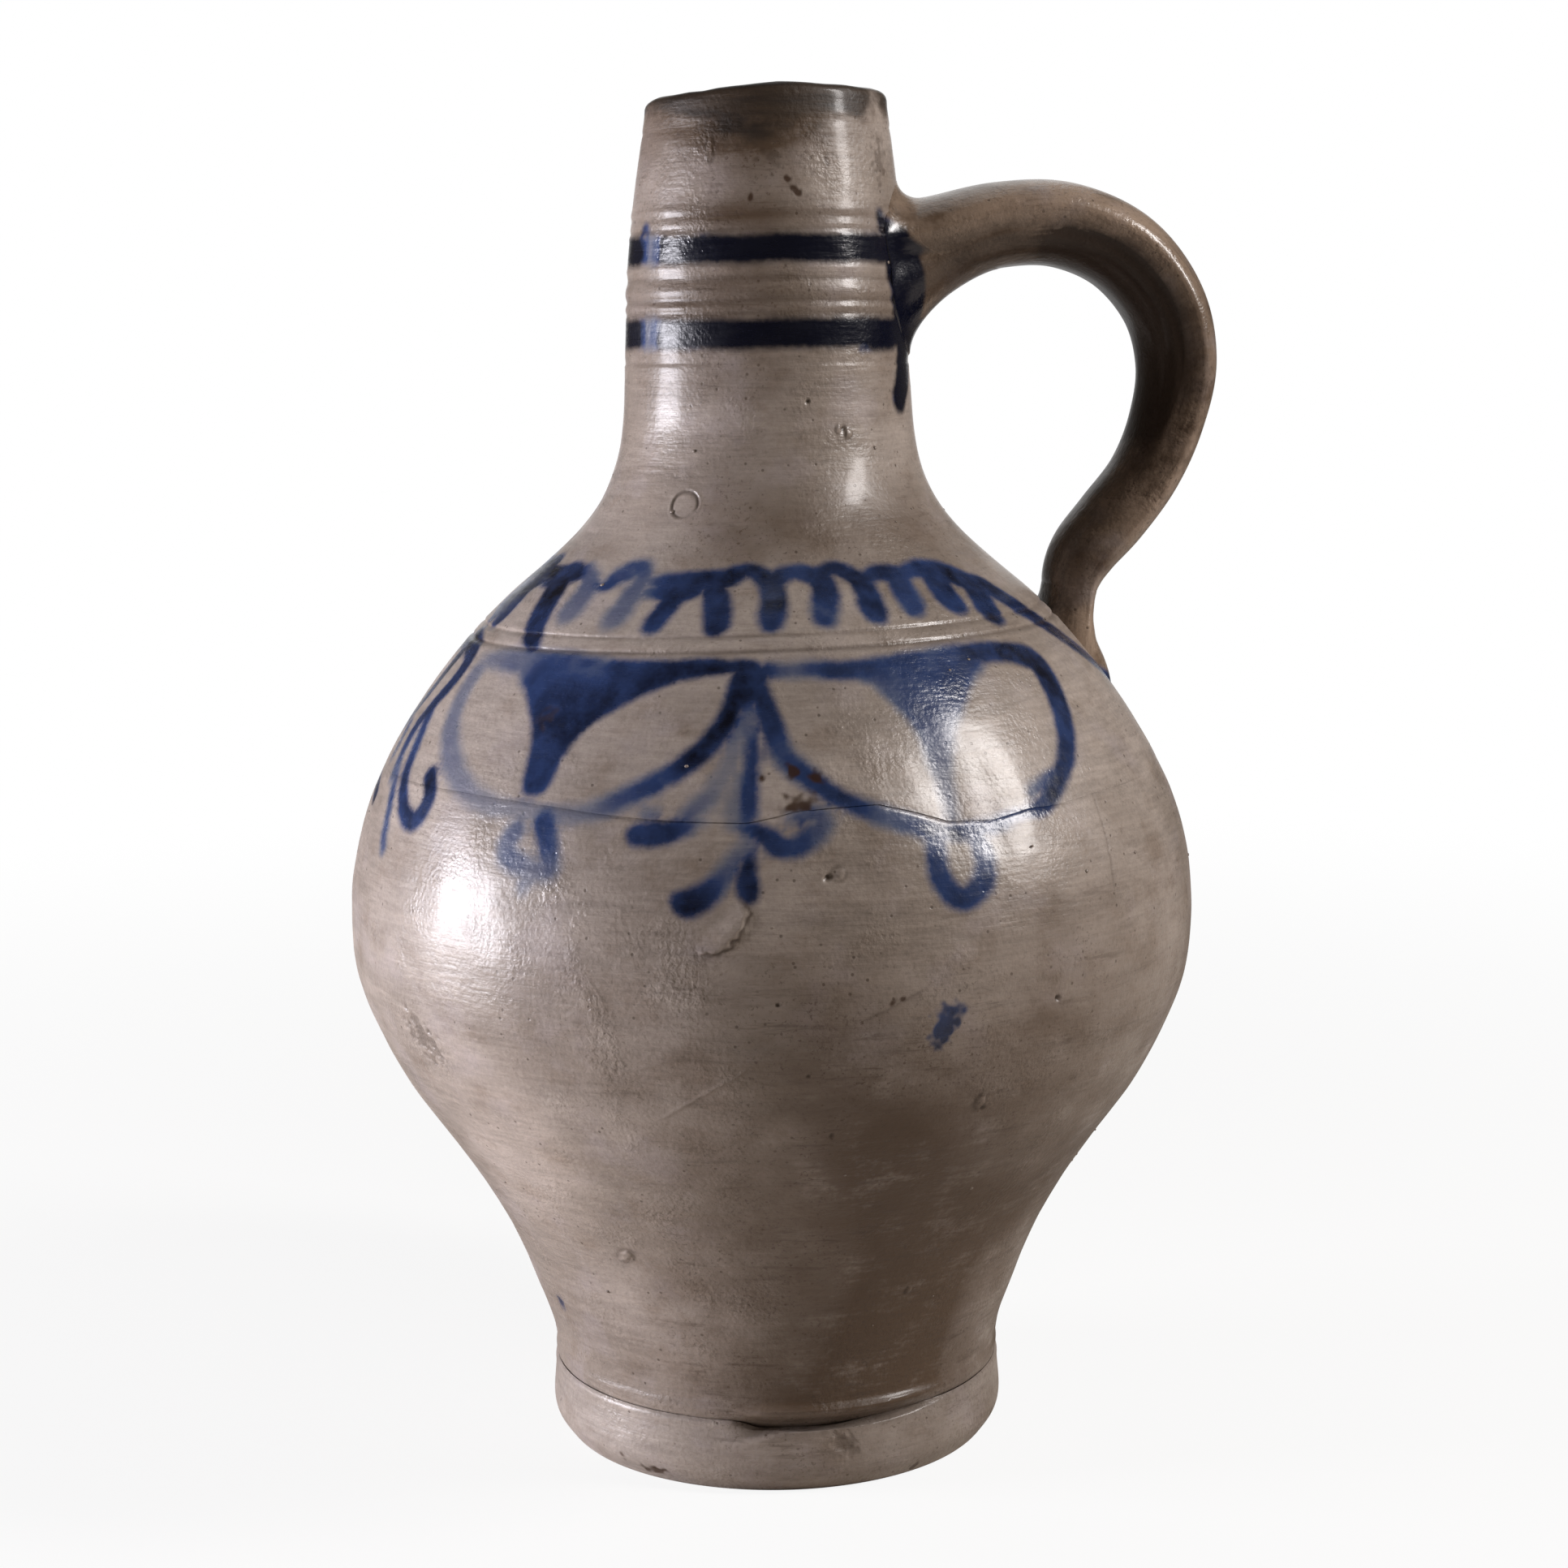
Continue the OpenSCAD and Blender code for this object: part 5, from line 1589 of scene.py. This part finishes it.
@dataclass
class PulledHandle:
    """Strap handle pulled from one piece of clay, with its luting on the neck and on the shoulder."""

    body: JugBody
    reach: float = 92.8
    reach_z: float = 240.3
    arch_z: float = 271.9
    root_z: float = 266.2
    tail_z: float = 183.956
    width: float = 30.0
    thickness: float = 19.0
    tail_spread: float = 8.0
    sides: int = 160
    steps: int = 12
    inner_power: float = 0.78
    seat_depth: float = 2.6
    cup: float = 1.7
    fillet_rows: int = 30
    over_fillet: tuple[float, float] = (6.0, 5.2)  # reach along the strap and spread on the neck
    side_fillet: tuple[float, float] = (5.0, 4.2)
    under_fillet: tuple[float, float] = (21.0, 13.5)
    root_path: Stations = (
        (-0.137, -0.30, 1.10, 1.10), (0.016, 0, 1.08, 1.09), (0.136, 0.333, 1.06, 1.06), (0.346, 0.895, 1.02, 1.01),
    )  # fmt: skip
    arch_path: Stations = (
        (0.576, 0.981, 1.00, 1.00), (0.796, 0.794, 1.00, 0.98), (0.949, 0.427, 0.99, 0.92), (1, 0, 0.98, 0.86),
    )  # fmt: skip
    lower_path: Stations = (
        (0.916, 0.769, 0.95, 0.79), (0.735, 0.565, 0.92, 0.76), (0.469, 0.394, 0.89, 0.78), (0.240, 0.266, 0.86, 0.73),
        (0.124, 0.158, 0.84, 0.61), (0.098, 0.044, 0.85, 0.45), (0.080, -0.071, 0.84, 0.41), (0.069, -0.187, 0.80, 0.38),
        (0.062, -0.302, 0.76, 0.36),
    )  # fmt: skip
    luting_steps: int = 4  # rings of the strap to one row of growth
    tail_growth: Stations = (
        (-0.06, -0.06, -0.06), (0.005, 0.01, 0.0), (0.02, 0.12, 0.03), (0.05, 0.3, 0.09), (0.10, 0.5, 0.18),
        (0.19, 0.60, 0.26), (0.29, 0.60, 0.30), (0.45, 0.60, 0.33), (0.62, 0.60, 0.33), (0.76, 0.60, 0.28),
        (0.88, 0.60, 0.20), (0.96, 0.60, 0.12), (0.96, 0.60, 0.08),
    )  # fmt: skip

    def __post_init__(self) -> None:
        """Work out the strap's middle line, as rows of x, z, half width and half thickness."""
        surface = self.body.surface
        root_x, tail_x = float(surface.radius(self.root_z)), float(surface.radius(self.tail_z))

        def stations(shares: Stations, x: float, low: float, high: float) -> list[tuple[float, ...]]:
            """Stations from shares of the reach, the rise, the width and the thickness."""
            return [
                (x + a * (self.reach - x), low + b * (high - low), w * self.width / 2, t * self.thickness / 2)
                for a, b, w, t in shares
            ]

        rows = (
            stations(self.root_path, root_x, self.root_z, self.arch_z)
            + stations(self.arch_path, root_x, self.reach_z, self.arch_z)
            + stations(self.lower_path, tail_x, self.tail_z, self.reach_z)
        )
        self.line = spline(np.array(rows), self.steps)
        self.way = np.gradient(self.line[:, :2], axis=0)
        self.run = np.concatenate([[0], np.cumsum(np.linalg.norm(np.diff(self.line[:, :2], axis=0), axis=1))])
        self.way /= np.linalg.norm(self.way, axis=1)[:, None]
        self.normal = np.stack([-self.way[:, 1], self.way[:, 0]], 1)
        self.angles = np.linspace(0, 2 * math.pi, self.sides, endpoint=False)

    def skin(self, at: np.ndarray, thicker: Any = 0.0, broader: Any = 0.0) -> np.ndarray:
        """Points on the strap, ring by ring.

        Args:
            at: Place of each point along the middle line, in its rows. Rings by sides, or rings by one.
            thicker: Clay added to the half thickness, in millimetres.
            broader: Clay added to the half width, in millimetres.

        Returns:
            Rings, points and coordinates, in millimetres.
        """
        index = np.arange(len(self.line))
        x, z, half_width, half_thick = (np.interp(at, index, self.line[:, i]) for i in range(4))
        nx, nz = (np.interp(at, index, self.normal[:, i]) for i in range(2))
        sin, cos, degrees = np.sin(self.angles), np.cos(self.angles), np.degrees(self.angles)
        power = np.where(sin < 0, self.inner_power, 1.0)
        share = at / len(self.line)
        # Edges squeezed between finger and thumb, a shallow flute along the outer face and one under each edge
        ridge = np.minimum(np.abs(turn(degrees - 12)), np.abs(turn(degrees - 168)))
        hollow = np.minimum(np.abs(turn(degrees + 15)), np.abs(turn(degrees - 195)))
        flute = 0.45 * hump(degrees, 90, 22) * ease(0.95, 0.6, share)
        nip = 1.1 * hump(ridge, 0, 16) - 0.9 * hump(hollow, 0, 9) * ease(0.62, 0.4, share)
        # A fold of clay left under the near edge, close to the root
        fold = 0.5 * hump(degrees, 199, 4) * hump(at, 34.5, 4.5)
        fade = ease(0.97, 0.75, share)
        lift = (half_thick + thicker - flute) * np.sign(sin) * np.abs(sin) ** power + self.cup * fade * cos**2
        out = (half_width + broader - 0.6 * fade + nip * fade + fold) * np.sign(cos) * np.abs(cos) ** power
        return np.stack([x + lift * nx, out + 0 * lift, z + lift * nz], 2)

    def above(self, co: np.ndarray) -> np.ndarray:
        """Height of points above the body's surface, in millimetres."""
        return np.hypot(co[..., 0], co[..., 1]) - self.body.surface.radius(co[..., 2])

    def settle(self, co: np.ndarray, height: np.ndarray) -> np.ndarray:
        """Move points in or out from the axis until they stand at a height above the body."""
        r = np.maximum(np.hypot(co[..., 0], co[..., 1]), 1e-6)
        share = (self.body.surface.radius(co[..., 2]) + height) / r
        return co * np.stack([share, share, np.ones_like(share)], -1)

    def seat(self, co: np.ndarray) -> np.ndarray:
        """Keep the clay that runs into the body within its wall."""
        return self.settle(co, np.maximum(self.above(co), -self.seat_depth))

    def shade(self, co: np.ndarray) -> tuple[np.ndarray, np.ndarray]:
        """Brown and painted shade of the strap, and the way in which its clay was pulled.

        Args:
            co: Points in millimetres.

        Returns:
            Share of brown, deepest on the inner face, partly because the salt vapour hardly reached it and partly as
            painted shade where the strap faces down and away from the lamps; and the points measured across the strap,
            square to it and along it.
        """
        flat = co[:, [0, 2]]
        nearest = ((flat[:, None] - self.line[None, :, :2]) ** 2).sum(2).argmin(1)
        gap = flat - self.line[nearest, :2]
        lift, ahead = (gap * self.normal[nearest]).sum(1), (gap * self.way[nearest]).sum(1)
        along = self.run[nearest] + ahead
        share = along / self.run[-1]
        across = lift / self.line[nearest, 3]
        # Painted shade: from the ridge of the near edge inward the strap darkens, where its faces turn down and away
        # from the lamps; the brown of the outer face is real.
        reach = 0.5 + 0.35 * ease(0.4, 0.6, share)
        inner = ease(0.12, 0.12 - reach, across - 0.1 * (co[:, 1] / 15) ** 2)
        outer = 0.24 + 0.3 * hump(share, 0.6, 0.16)
        deep_shade = 1.2 - 0.45 * ease(0.52, 0.72, share)
        hidden = ease(0.17, 0.31, share)
        brown = outer + (deep_shade - outer) * inner * hidden + (0.12 + 0.4 * inner) * (1 - hidden)
        tail = ease(0.8, 0.92, share)
        return brown * (1 - tail) + tail * (0.1 + 0.75 * inner * ease(0.97, 0.88, share)), np.stack([co[:, 1], lift, 0.1 * along], 1)

    def dress(self, mesh: bpy.types.Mesh) -> None:
        """Store everything that the finish reads."""
        co = points_of(mesh)
        edge, load = self.body.brush.lay(self.body.surface, co)
        # brown holds the strap's brown together with the painted shade of its inner face.
        brown, pulled = self.shade(co)
        store(mesh, "stroke_edge", edge + np.maximum(self.above(co) - 2.8, 0))
        store(mesh, "cobalt_load", load)
        store(mesh, "soil_and_shading", brown)
        store(mesh, "pulled", pulled)
        for name in ("soot", "rust", "dirt_and_shade"):
            store(mesh, name, np.zeros(len(co)))

    def build_strap(self, clay: bpy.types.Material) -> bpy.types.Object:
        """Pull the strap from the neck over the arch to the shoulder.

        Args:
            clay: Material of the strap.

        Returns:
            The piece.
        """
        mesh = loft("pulled_strap", self.skin(np.arange(len(self.line), dtype=float)[:, None] + 0 * self.angles))
        co = self.seat(points_of(mesh))
        wobble = ClayNoise(31, 30).at(co)[:, None] * 0.12
        nicks = sum(
            np.exp(-((np.linalg.norm((co - np.array(spot)) * np.array([1.3, 1, 0.6]), axis=1) / 1.2) ** 2))
            for spot in ((55.4, -14.6, 267.6), (58.4, -14.8, 268.0))
        )[:, None]
        co = co + wobble * np.array([0.0, 1.0, 0.0]) + nicks * np.array([0.0, 1.3, 0.2])
        move_points(mesh, co)
        self.dress(mesh)
        return show(mesh, clay, ClaySlot.HANDLE, "handle")

    def build_upper_luting(self, clay: bpy.types.Material) -> bpy.types.Object:
        """Work clay round the root of the strap, as a hollow rounding that runs out on the neck.

        Args:
            clay: Material of the luting.

        Returns:
            The piece.
        """
        sin = np.sin(self.angles)
        under, over = np.clip(-sin, 0, 1) ** 1.4, np.clip(sin, 0, 1) ** 2
        parts = zip(self.over_fillet, self.side_fillet, self.under_fillet)
        reach, spread = (side + (low - side) * under + (top - side) * over for top, side, low in parts)
        rows = np.arange(5.0 * self.steps)
        height = self.above(self.skin(rows[:, None] + 0 * sin))
        find = lambda wanted: np.stack([np.interp(wanted[:, k], height[:, k], rows) for k in range(self.sides)], 1)
        swing = np.radians(np.linspace(90, 0, self.fillet_rows))[:, None]
        rise, grown = reach * (1 - np.sin(swing)), spread * (1 - np.cos(swing)) + 0.05
        at = find(rise)
        buried = np.where(np.arange(self.fillet_rows) == 0, -0.6, 0.0)[:, None]
        outer = self.settle(self.skin(at, grown, grown), rise + buried)
        tip = self.skin(at[-1:] + 2.0, -0.6, -0.6)
        inner = self.skin(np.vstack([find(np.full((1, self.sides), -1.6)), at[1:], at[-1:] + 2.0])[::-1], -1.4, -1.4)
        mesh = loft("neck_luting", np.concatenate([outer, tip, inner]), tube=True)
        self.dress(mesh)
        return show(mesh, clay, ClaySlot.LUTING, "upper_luting")

    def build_lower_luting(self, clay: bpy.types.Material) -> bpy.types.Object:
        """Press the end of the strap down on the shoulder."""
        grown = spline(np.array(self.tail_growth) * self.tail_spread, self.luting_steps)
        at = (len(self.line) - len(grown) + np.arange(len(grown), dtype=float))[:, None] + 0 * self.angles
        thicker = np.where(np.sin(self.angles) < 0, grown[:, 1:2], grown[:, 0:1])
        shell = np.concatenate([self.skin(at, thicker, grown[:, 2:3]), self.skin(at, -1.4, -1.4)[::-1]])
        mesh = loft("shoulder_luting", shell, tube=True)
        move_points(mesh, self.seat(points_of(mesh)))
        closed_outward(mesh)
        self.dress(mesh)
        return show(mesh, clay, ClaySlot.LUTING, "lower_luting")


@dataclass(frozen=True)
class KilnCrumbs:
    """Grains of kiln grit and salt that fell on the wet glaze and stuck."""

    per_square_metre: float = 900.0
    smallest: float = 0.16
    largest: float = 0.42
    seed: int = 4

    def tree(self) -> bpy.types.NodeTree:
        """Tree that scatters grains on a skin and turns them into plain faces.

        Returns:
            The node tree, with named inputs.
        """
        tree = bpy.data.node_groups.new("scatter_crumbs", "GeometryNodeTree")
        face = tree.interface
        face.new_socket("Skin", in_out="INPUT", socket_type="NodeSocketGeometry")
        for name, kind in (("Density", "NodeSocketFloat"), ("Smallest", "NodeSocketFloat"), ("Largest", "NodeSocketFloat"),
                           ("Seed", "NodeSocketInt"), ("Clay", "NodeSocketMaterial")):  # fmt: skip
            face.new_socket(name, in_out="INPUT", socket_type=kind)
        face.new_socket("Crumbs", in_out="OUTPUT", socket_type="NodeSocketGeometry")
        source = add_node(tree, "NodeGroupInput").outputs
        scatter = add_node(
            tree,
            "GeometryNodeDistributePointsOnFaces",
            {"Mesh": source["Skin"], "Density": source["Density"], "Seed": source["Seed"]},
            distribute_method="RANDOM",
        )
        grain = add_node(tree, "GeometryNodeMeshIcoSphere", {"Radius": 1.0, "Subdivisions": 2})
        size = add_node(
            tree, "FunctionNodeRandomValue", {2: source["Smallest"], 3: source["Largest"], "Seed": source["Seed"]}, data_type="FLOAT"
        ).outputs[1]
        flat = add_node(tree, "ShaderNodeVectorMath", {0: (1.3, 1.0, 0.55), "Scale": size}, operation="SCALE").outputs[0]
        placed = add_node(
            tree,
            "GeometryNodeInstanceOnPoints",
            {"Points": scatter.outputs["Points"], "Instance": grain.outputs[0], "Rotation": scatter.outputs["Rotation"], "Scale": flat},
        )
        real = add_node(tree, "GeometryNodeRealizeInstances", {0: placed.outputs[0]})
        clothed = add_node(tree, "GeometryNodeSetMaterial", {"Geometry": real.outputs[0], "Material": source["Clay"]})
        add_node(tree, "NodeGroupOutput", {0: clothed.outputs[0]})
        return tree

    def build(self, body: JugBody, clay: bpy.types.Material) -> bpy.types.Object:
        """Scatter the grains over the outside of the jug.

        Args:
            body: Body that they stick to.
            clay: Material of the grains.

        Returns:
            The piece.
        """
        surface = body.surface
        heights = np.concatenate([np.linspace(24, 108, 30), np.linspace(132, 282, 60)])
        az = np.radians(np.arange(0, 360, 4.0))
        rings = np.array([[(r * math.cos(a), r * math.sin(a), z) for a in az] for z, r in zip(heights, surface.radius(heights) - 0.25)])
        count = len(az)
        faces = [
            (i * count + k, i * count + (k + 1) % count, (i + 1) * count + (k + 1) % count, (i + 1) * count + k)
            for i in range(len(heights) - 1)
            for k in range(count)
            if not 108 < (heights[i] + heights[i + 1]) / 2 < 132
        ]
        skin = bpy.data.meshes.new("crumb_skin")
        skin.from_pydata((rings.reshape(-1, 3) * MM).tolist(), [], faces)
        carrier = bpy.data.objects.new("crumb_carrier", skin)
        bpy.context.scene.collection.objects.link(carrier)
        shaker = carrier.modifiers.new("crumbs", "NODES")
        shaker.node_group = self.tree()
        values = {"Density": self.per_square_metre, "Smallest": self.smallest * MM, "Largest": self.largest * MM,
                  "Seed": self.seed, "Clay": clay}  # fmt: skip
        fill_inputs(shaker, values)
        mesh = plain_mesh(carrier, "kiln_crumbs")
        mesh.shade_smooth()
        co = points_of(mesh)
        for name, value in (("stroke_edge", FAR), ("cobalt_load", 0.0), ("soil_and_shading", 0.5), ("soot", 0.0), ("rust", 0.0), ("dirt_and_shade", 0.0)):
            store(mesh, name, np.full(len(co), value))
        store(mesh, "pulled", co)
        return show(mesh, clay, ClaySlot.LOWER)


@dataclass(frozen=True)
class StudioCamera:
    """Camera where the photograph was taken from."""

    distance: float = 633.3
    height: float = 244.4
    stands_at: float = -98.0
    down: float = 8.7068
    right: float = 0.2619
    roll: float = 0.51
    lens: float = 65.217
    sensor: float = 36.0

    def build(self) -> bpy.types.Object:
        """Set up the camera and make it the scene's.

        Returns:
            The camera object.
        """
        lens = bpy.data.cameras.new("studio_camera")
        lens.lens, lens.sensor_width, lens.clip_start = self.lens, self.sensor, 0.01
        camera = bpy.data.objects.new("studio_camera", lens)
        turn_z = Matrix.Rotation(math.radians(self.stands_at + 90), 3, "Z")
        down, yaw, roll = (math.radians(v) for v in (self.down, self.right, self.roll))
        ahead = Vector((math.sin(yaw) * math.cos(down), math.cos(yaw) * math.cos(down), -math.sin(down)))
        right = Vector((math.cos(yaw), -math.sin(yaw), 0.0))
        up = right.cross(ahead)
        level = right * math.cos(roll) - up * math.sin(roll)
        upright = right * math.sin(roll) + up * math.cos(roll)
        axes = [turn_z @ v for v in (level, upright, -ahead)]
        matrix = Matrix([[*(axis[i] for axis in axes)] for i in range(3)]).to_4x4()
        matrix.translation = turn_z @ Vector((0.0, -self.distance * MM, self.height * MM))
        camera.matrix_world = matrix
        bpy.context.scene.collection.objects.link(camera)
        bpy.context.scene.camera = camera
        return camera


@dataclass(frozen=True)
class Softbox:
    """One large soft lamp, aimed at the jug."""

    name: str
    azimuth: float
    elevation: float
    distance: float
    width: float
    height: float
    watts: float
    tint: str = "ffffff"
    aim: float = 150.0

    def build(self) -> bpy.types.Object:
        """Hang the lamp.

        Returns:
            The lamp object.
        """
        data = bpy.data.lights.new(self.name, "AREA")
        data.shape = "RECTANGLE"
        data.size, data.size_y = self.width * MM, self.height * MM
        data.energy = self.watts
        data.color = linear(self.tint)[:3]
        lamp = bpy.data.objects.new(self.name, data)
        az, el = math.radians(self.azimuth), math.radians(self.elevation)
        way = Vector((math.cos(el) * math.cos(az), math.cos(el) * math.sin(az), math.sin(el)))
        lamp.location = way * self.distance * MM + Vector((0.0, 0.0, self.aim * MM))
        lamp.rotation_euler = way.to_track_quat("Z", "Y").to_euler()
        bpy.context.scene.collection.objects.link(lamp)
        return lamp


@dataclass(frozen=True)
class Studio:
    """Plain pale floor, white background and two soft lamps."""

    camera: StudioCamera = StudioCamera()
    backdrop: tuple[float, float] = (0.92, 1.0)
    lamps: tuple[Softbox, ...] = (
        Softbox("left_softbox", 178.0, 0.0, 900.0, 330.0, 470.0, 15.4, "f8f6ff", 105.0),
        Softbox("right_softbox", -24.5, 34.0, 900.0, 150.0, 400.0, 6.4, "fffaf8"),
    )
    ambient: str = "dccfc0"
    ambient_strength: float = 0.092
    floor_seen: str = "f2f1ef"
    floor_shade: str = "d6cec4"
    floor_size: float = 16000.0
    floor_white: float = 0.88
    floor_fade: tuple[float, float] = (200.0, 900.0)

    def seen_white(self, tree: bpy.types.NodeTree, place: bpy.types.NodeSocket) -> bpy.types.NodeSocket:
        """Share of the white background that a ray sees.

        Args:
            tree: Node tree to add to.
            place: Place or direction that the ray meets, from the jug's axis.

        Returns:
            1 for camera rays, 1 behind the jug and 0 elsewhere for glossy and transmission rays, 0 for diffuse light.
        """
        flat = add_node(tree, "ShaderNodeVectorMath", {0: place, 1: (1.0, 1.0, 0.0)}, operation="MULTIPLY").outputs[0]
        way = add_node(tree, "ShaderNodeVectorMath", {0: flat}, operation="NORMALIZE").outputs[0]
        az = math.radians(self.camera.stands_at + 180)
        toward = add_node(
            tree, "ShaderNodeVectorMath", {0: way, 1: (math.cos(az), math.sin(az), 0.0)}, operation="DOT_PRODUCT"
        ).outputs["Value"]
        near_edge, far_edge = self.backdrop
        behind = add_node(tree, "ShaderNodeMapRange", {0: toward, 1: near_edge, 2: far_edge}, interpolation_type="SMOOTHSTEP")
        path = add_node(tree, "ShaderNodeLightPath").outputs
        both = add_node(
            tree, "ShaderNodeMath", {0: path["Is Glossy Ray"], 1: path["Is Transmission Ray"]}, operation="MAXIMUM"
        ).outputs[0]
        mirrored = add_node(tree, "ShaderNodeMath", {0: both, 1: behind.outputs[0]}, operation="MULTIPLY").outputs[0]
        return add_node(tree, "ShaderNodeMath", {0: mirrored, 1: path["Is Camera Ray"]}, operation="MAXIMUM").outputs[0]

    def build_world(self) -> None:
        """Dim air all round, and a white background that glaze and camera see behind the jug."""
        world = bpy.data.worlds.new("studio_air")
        world.use_nodes = True
        tree = world.node_tree
        tree.nodes.clear()
        air = add_node(tree, "ShaderNodeBackground", {"Color": linear(self.ambient), "Strength": self.ambient_strength})
        white = add_node(tree, "ShaderNodeBackground", {"Color": (1.0, 1.0, 1.0, 1.0), "Strength": 1.0})
        share = self.seen_white(tree, add_node(tree, "ShaderNodeTexCoord").outputs["Generated"])
        mixed = add_node(tree, "ShaderNodeMixShader", {0: share, 1: air.outputs[0], 2: white.outputs[0]})
        add_node(tree, "ShaderNodeOutputWorld", {"Surface": mixed.outputs[0]})
        bpy.context.scene.world = world

    def build_floor(self) -> bpy.types.Object:
        """Matt paper floor, nearly white to the eye and still holding the jug's shadow.

        Returns:
            The floor.
        """
        material = bpy.data.materials.new("matt_paper")
        material.use_nodes = True
        tree = material.node_tree
        tree.nodes.clear()
        place = add_node(tree, "ShaderNodeTexCoord").outputs["Object"]
        fibre = add_node(tree, "ShaderNodeTexNoise", {"Vector": place, "Scale": 900.0, "Detail": 2.0}).outputs[0]
        bump = add_node(tree, "ShaderNodeBump", {"Strength": 0.1, "Distance": 0.0001, "Height": fibre})
        seen = self.seen_white(tree, place)
        tone = add_node(tree, "ShaderNodeMix", {0: seen, 6: linear(self.floor_shade), 7: linear(self.floor_seen)}, data_type="RGBA")
        paper = add_node(tree, "ShaderNodeBsdfDiffuse", {"Color": tone.outputs[2], "Normal": bump.outputs[0]})
        glow = add_node(tree, "ShaderNodeEmission", {"Color": (1.0, 1.0, 1.0, 1.0), "Strength": 1.0})
        far = add_node(tree, "ShaderNodeVectorMath", {0: place}, operation="LENGTH").outputs["Value"]
        near_edge, far_edge = self.floor_fade
        # The camera sees it nearly white right up to the jug, and glaze only further out
        near_white = add_node(
            tree,
            "ShaderNodeMath",
            {0: add_node(tree, "ShaderNodeLightPath").outputs["Is Camera Ray"], 1: self.floor_white},
            operation="MULTIPLY",
        ).outputs[0]
        fade = add_node(
            tree,
            "ShaderNodeMapRange",
            {0: far, 1: near_edge * MM, 2: far_edge * MM, 3: near_white, 4: 1.0},
            interpolation_type="SMOOTHSTEP",
        )
        share = add_node(tree, "ShaderNodeMath", {0: seen, 1: fade.outputs[0]}, operation="MULTIPLY")
        mixed = add_node(tree, "ShaderNodeMixShader", {0: share.outputs[0], 1: paper.outputs[0], 2: glow.outputs[0]})
        add_node(tree, "ShaderNodeOutputMaterial", {"Surface": mixed.outputs[0]})
        half = self.floor_size * MM / 2
        mesh = bpy.data.meshes.new("studio_floor")
        mesh.from_pydata([(-half, -half, 0.0), (half, -half, 0.0), (half, half, 0.0), (-half, half, 0.0)], [], [(0, 1, 2, 3)])
        mesh.materials.append(material)
        floor = bpy.data.objects.new("studio_floor", mesh)
        bpy.context.scene.collection.objects.link(floor)
        return floor

    def build(self) -> None:
        """Light the set."""
        for lamp in self.lamps:
            lamp.build()
        self.build_world()
        self.build_floor()


def main() -> None:
    """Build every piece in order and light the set."""
    logging.basicConfig(level=logging.INFO, format="%(name)s: %(message)s")
    bpy.context.scene.view_settings.view_transform = "Standard"
    body_clay = SaltGlaze("salt_glazed_stoneware").build()
    foot_clay = SaltGlaze("salt_glazed_stoneware_foot", pale="b8ada5", grey="9f948b", brown_share=0.34).build()
    # The strap's near-black soil_and_shading colour, at a full share, paints the shade of its inner face as well as its
    # brown.
    strap_clay = SaltGlaze(
        "salt_glazed_stoneware_strap", pale="b29c89", grey="8f7c6b", brown="5a4430", soil_and_shading="2d1d10", dust="33261c",
        soil_and_shading_share=1.0, brown_share=0.85, roughness=0.27, drag_height=0.1, dry_roughness=0.22, coat=0.26,
    ).build()  # fmt: skip

    body = JugBody(WheelThrowing())
    body.build_lower(body_clay)
    body.build_upper(body_clay)
    body.build_foot(foot_clay)
    handle = PulledHandle(body)
    handle.build_strap(strap_clay)
    handle.build_upper_luting(strap_clay)
    handle.build_lower_luting(strap_clay)
    KilnCrumbs().build(body, body_clay)

    studio = Studio()
    studio.camera.build()
    studio.build()


if __name__ == "__main__":
    main()
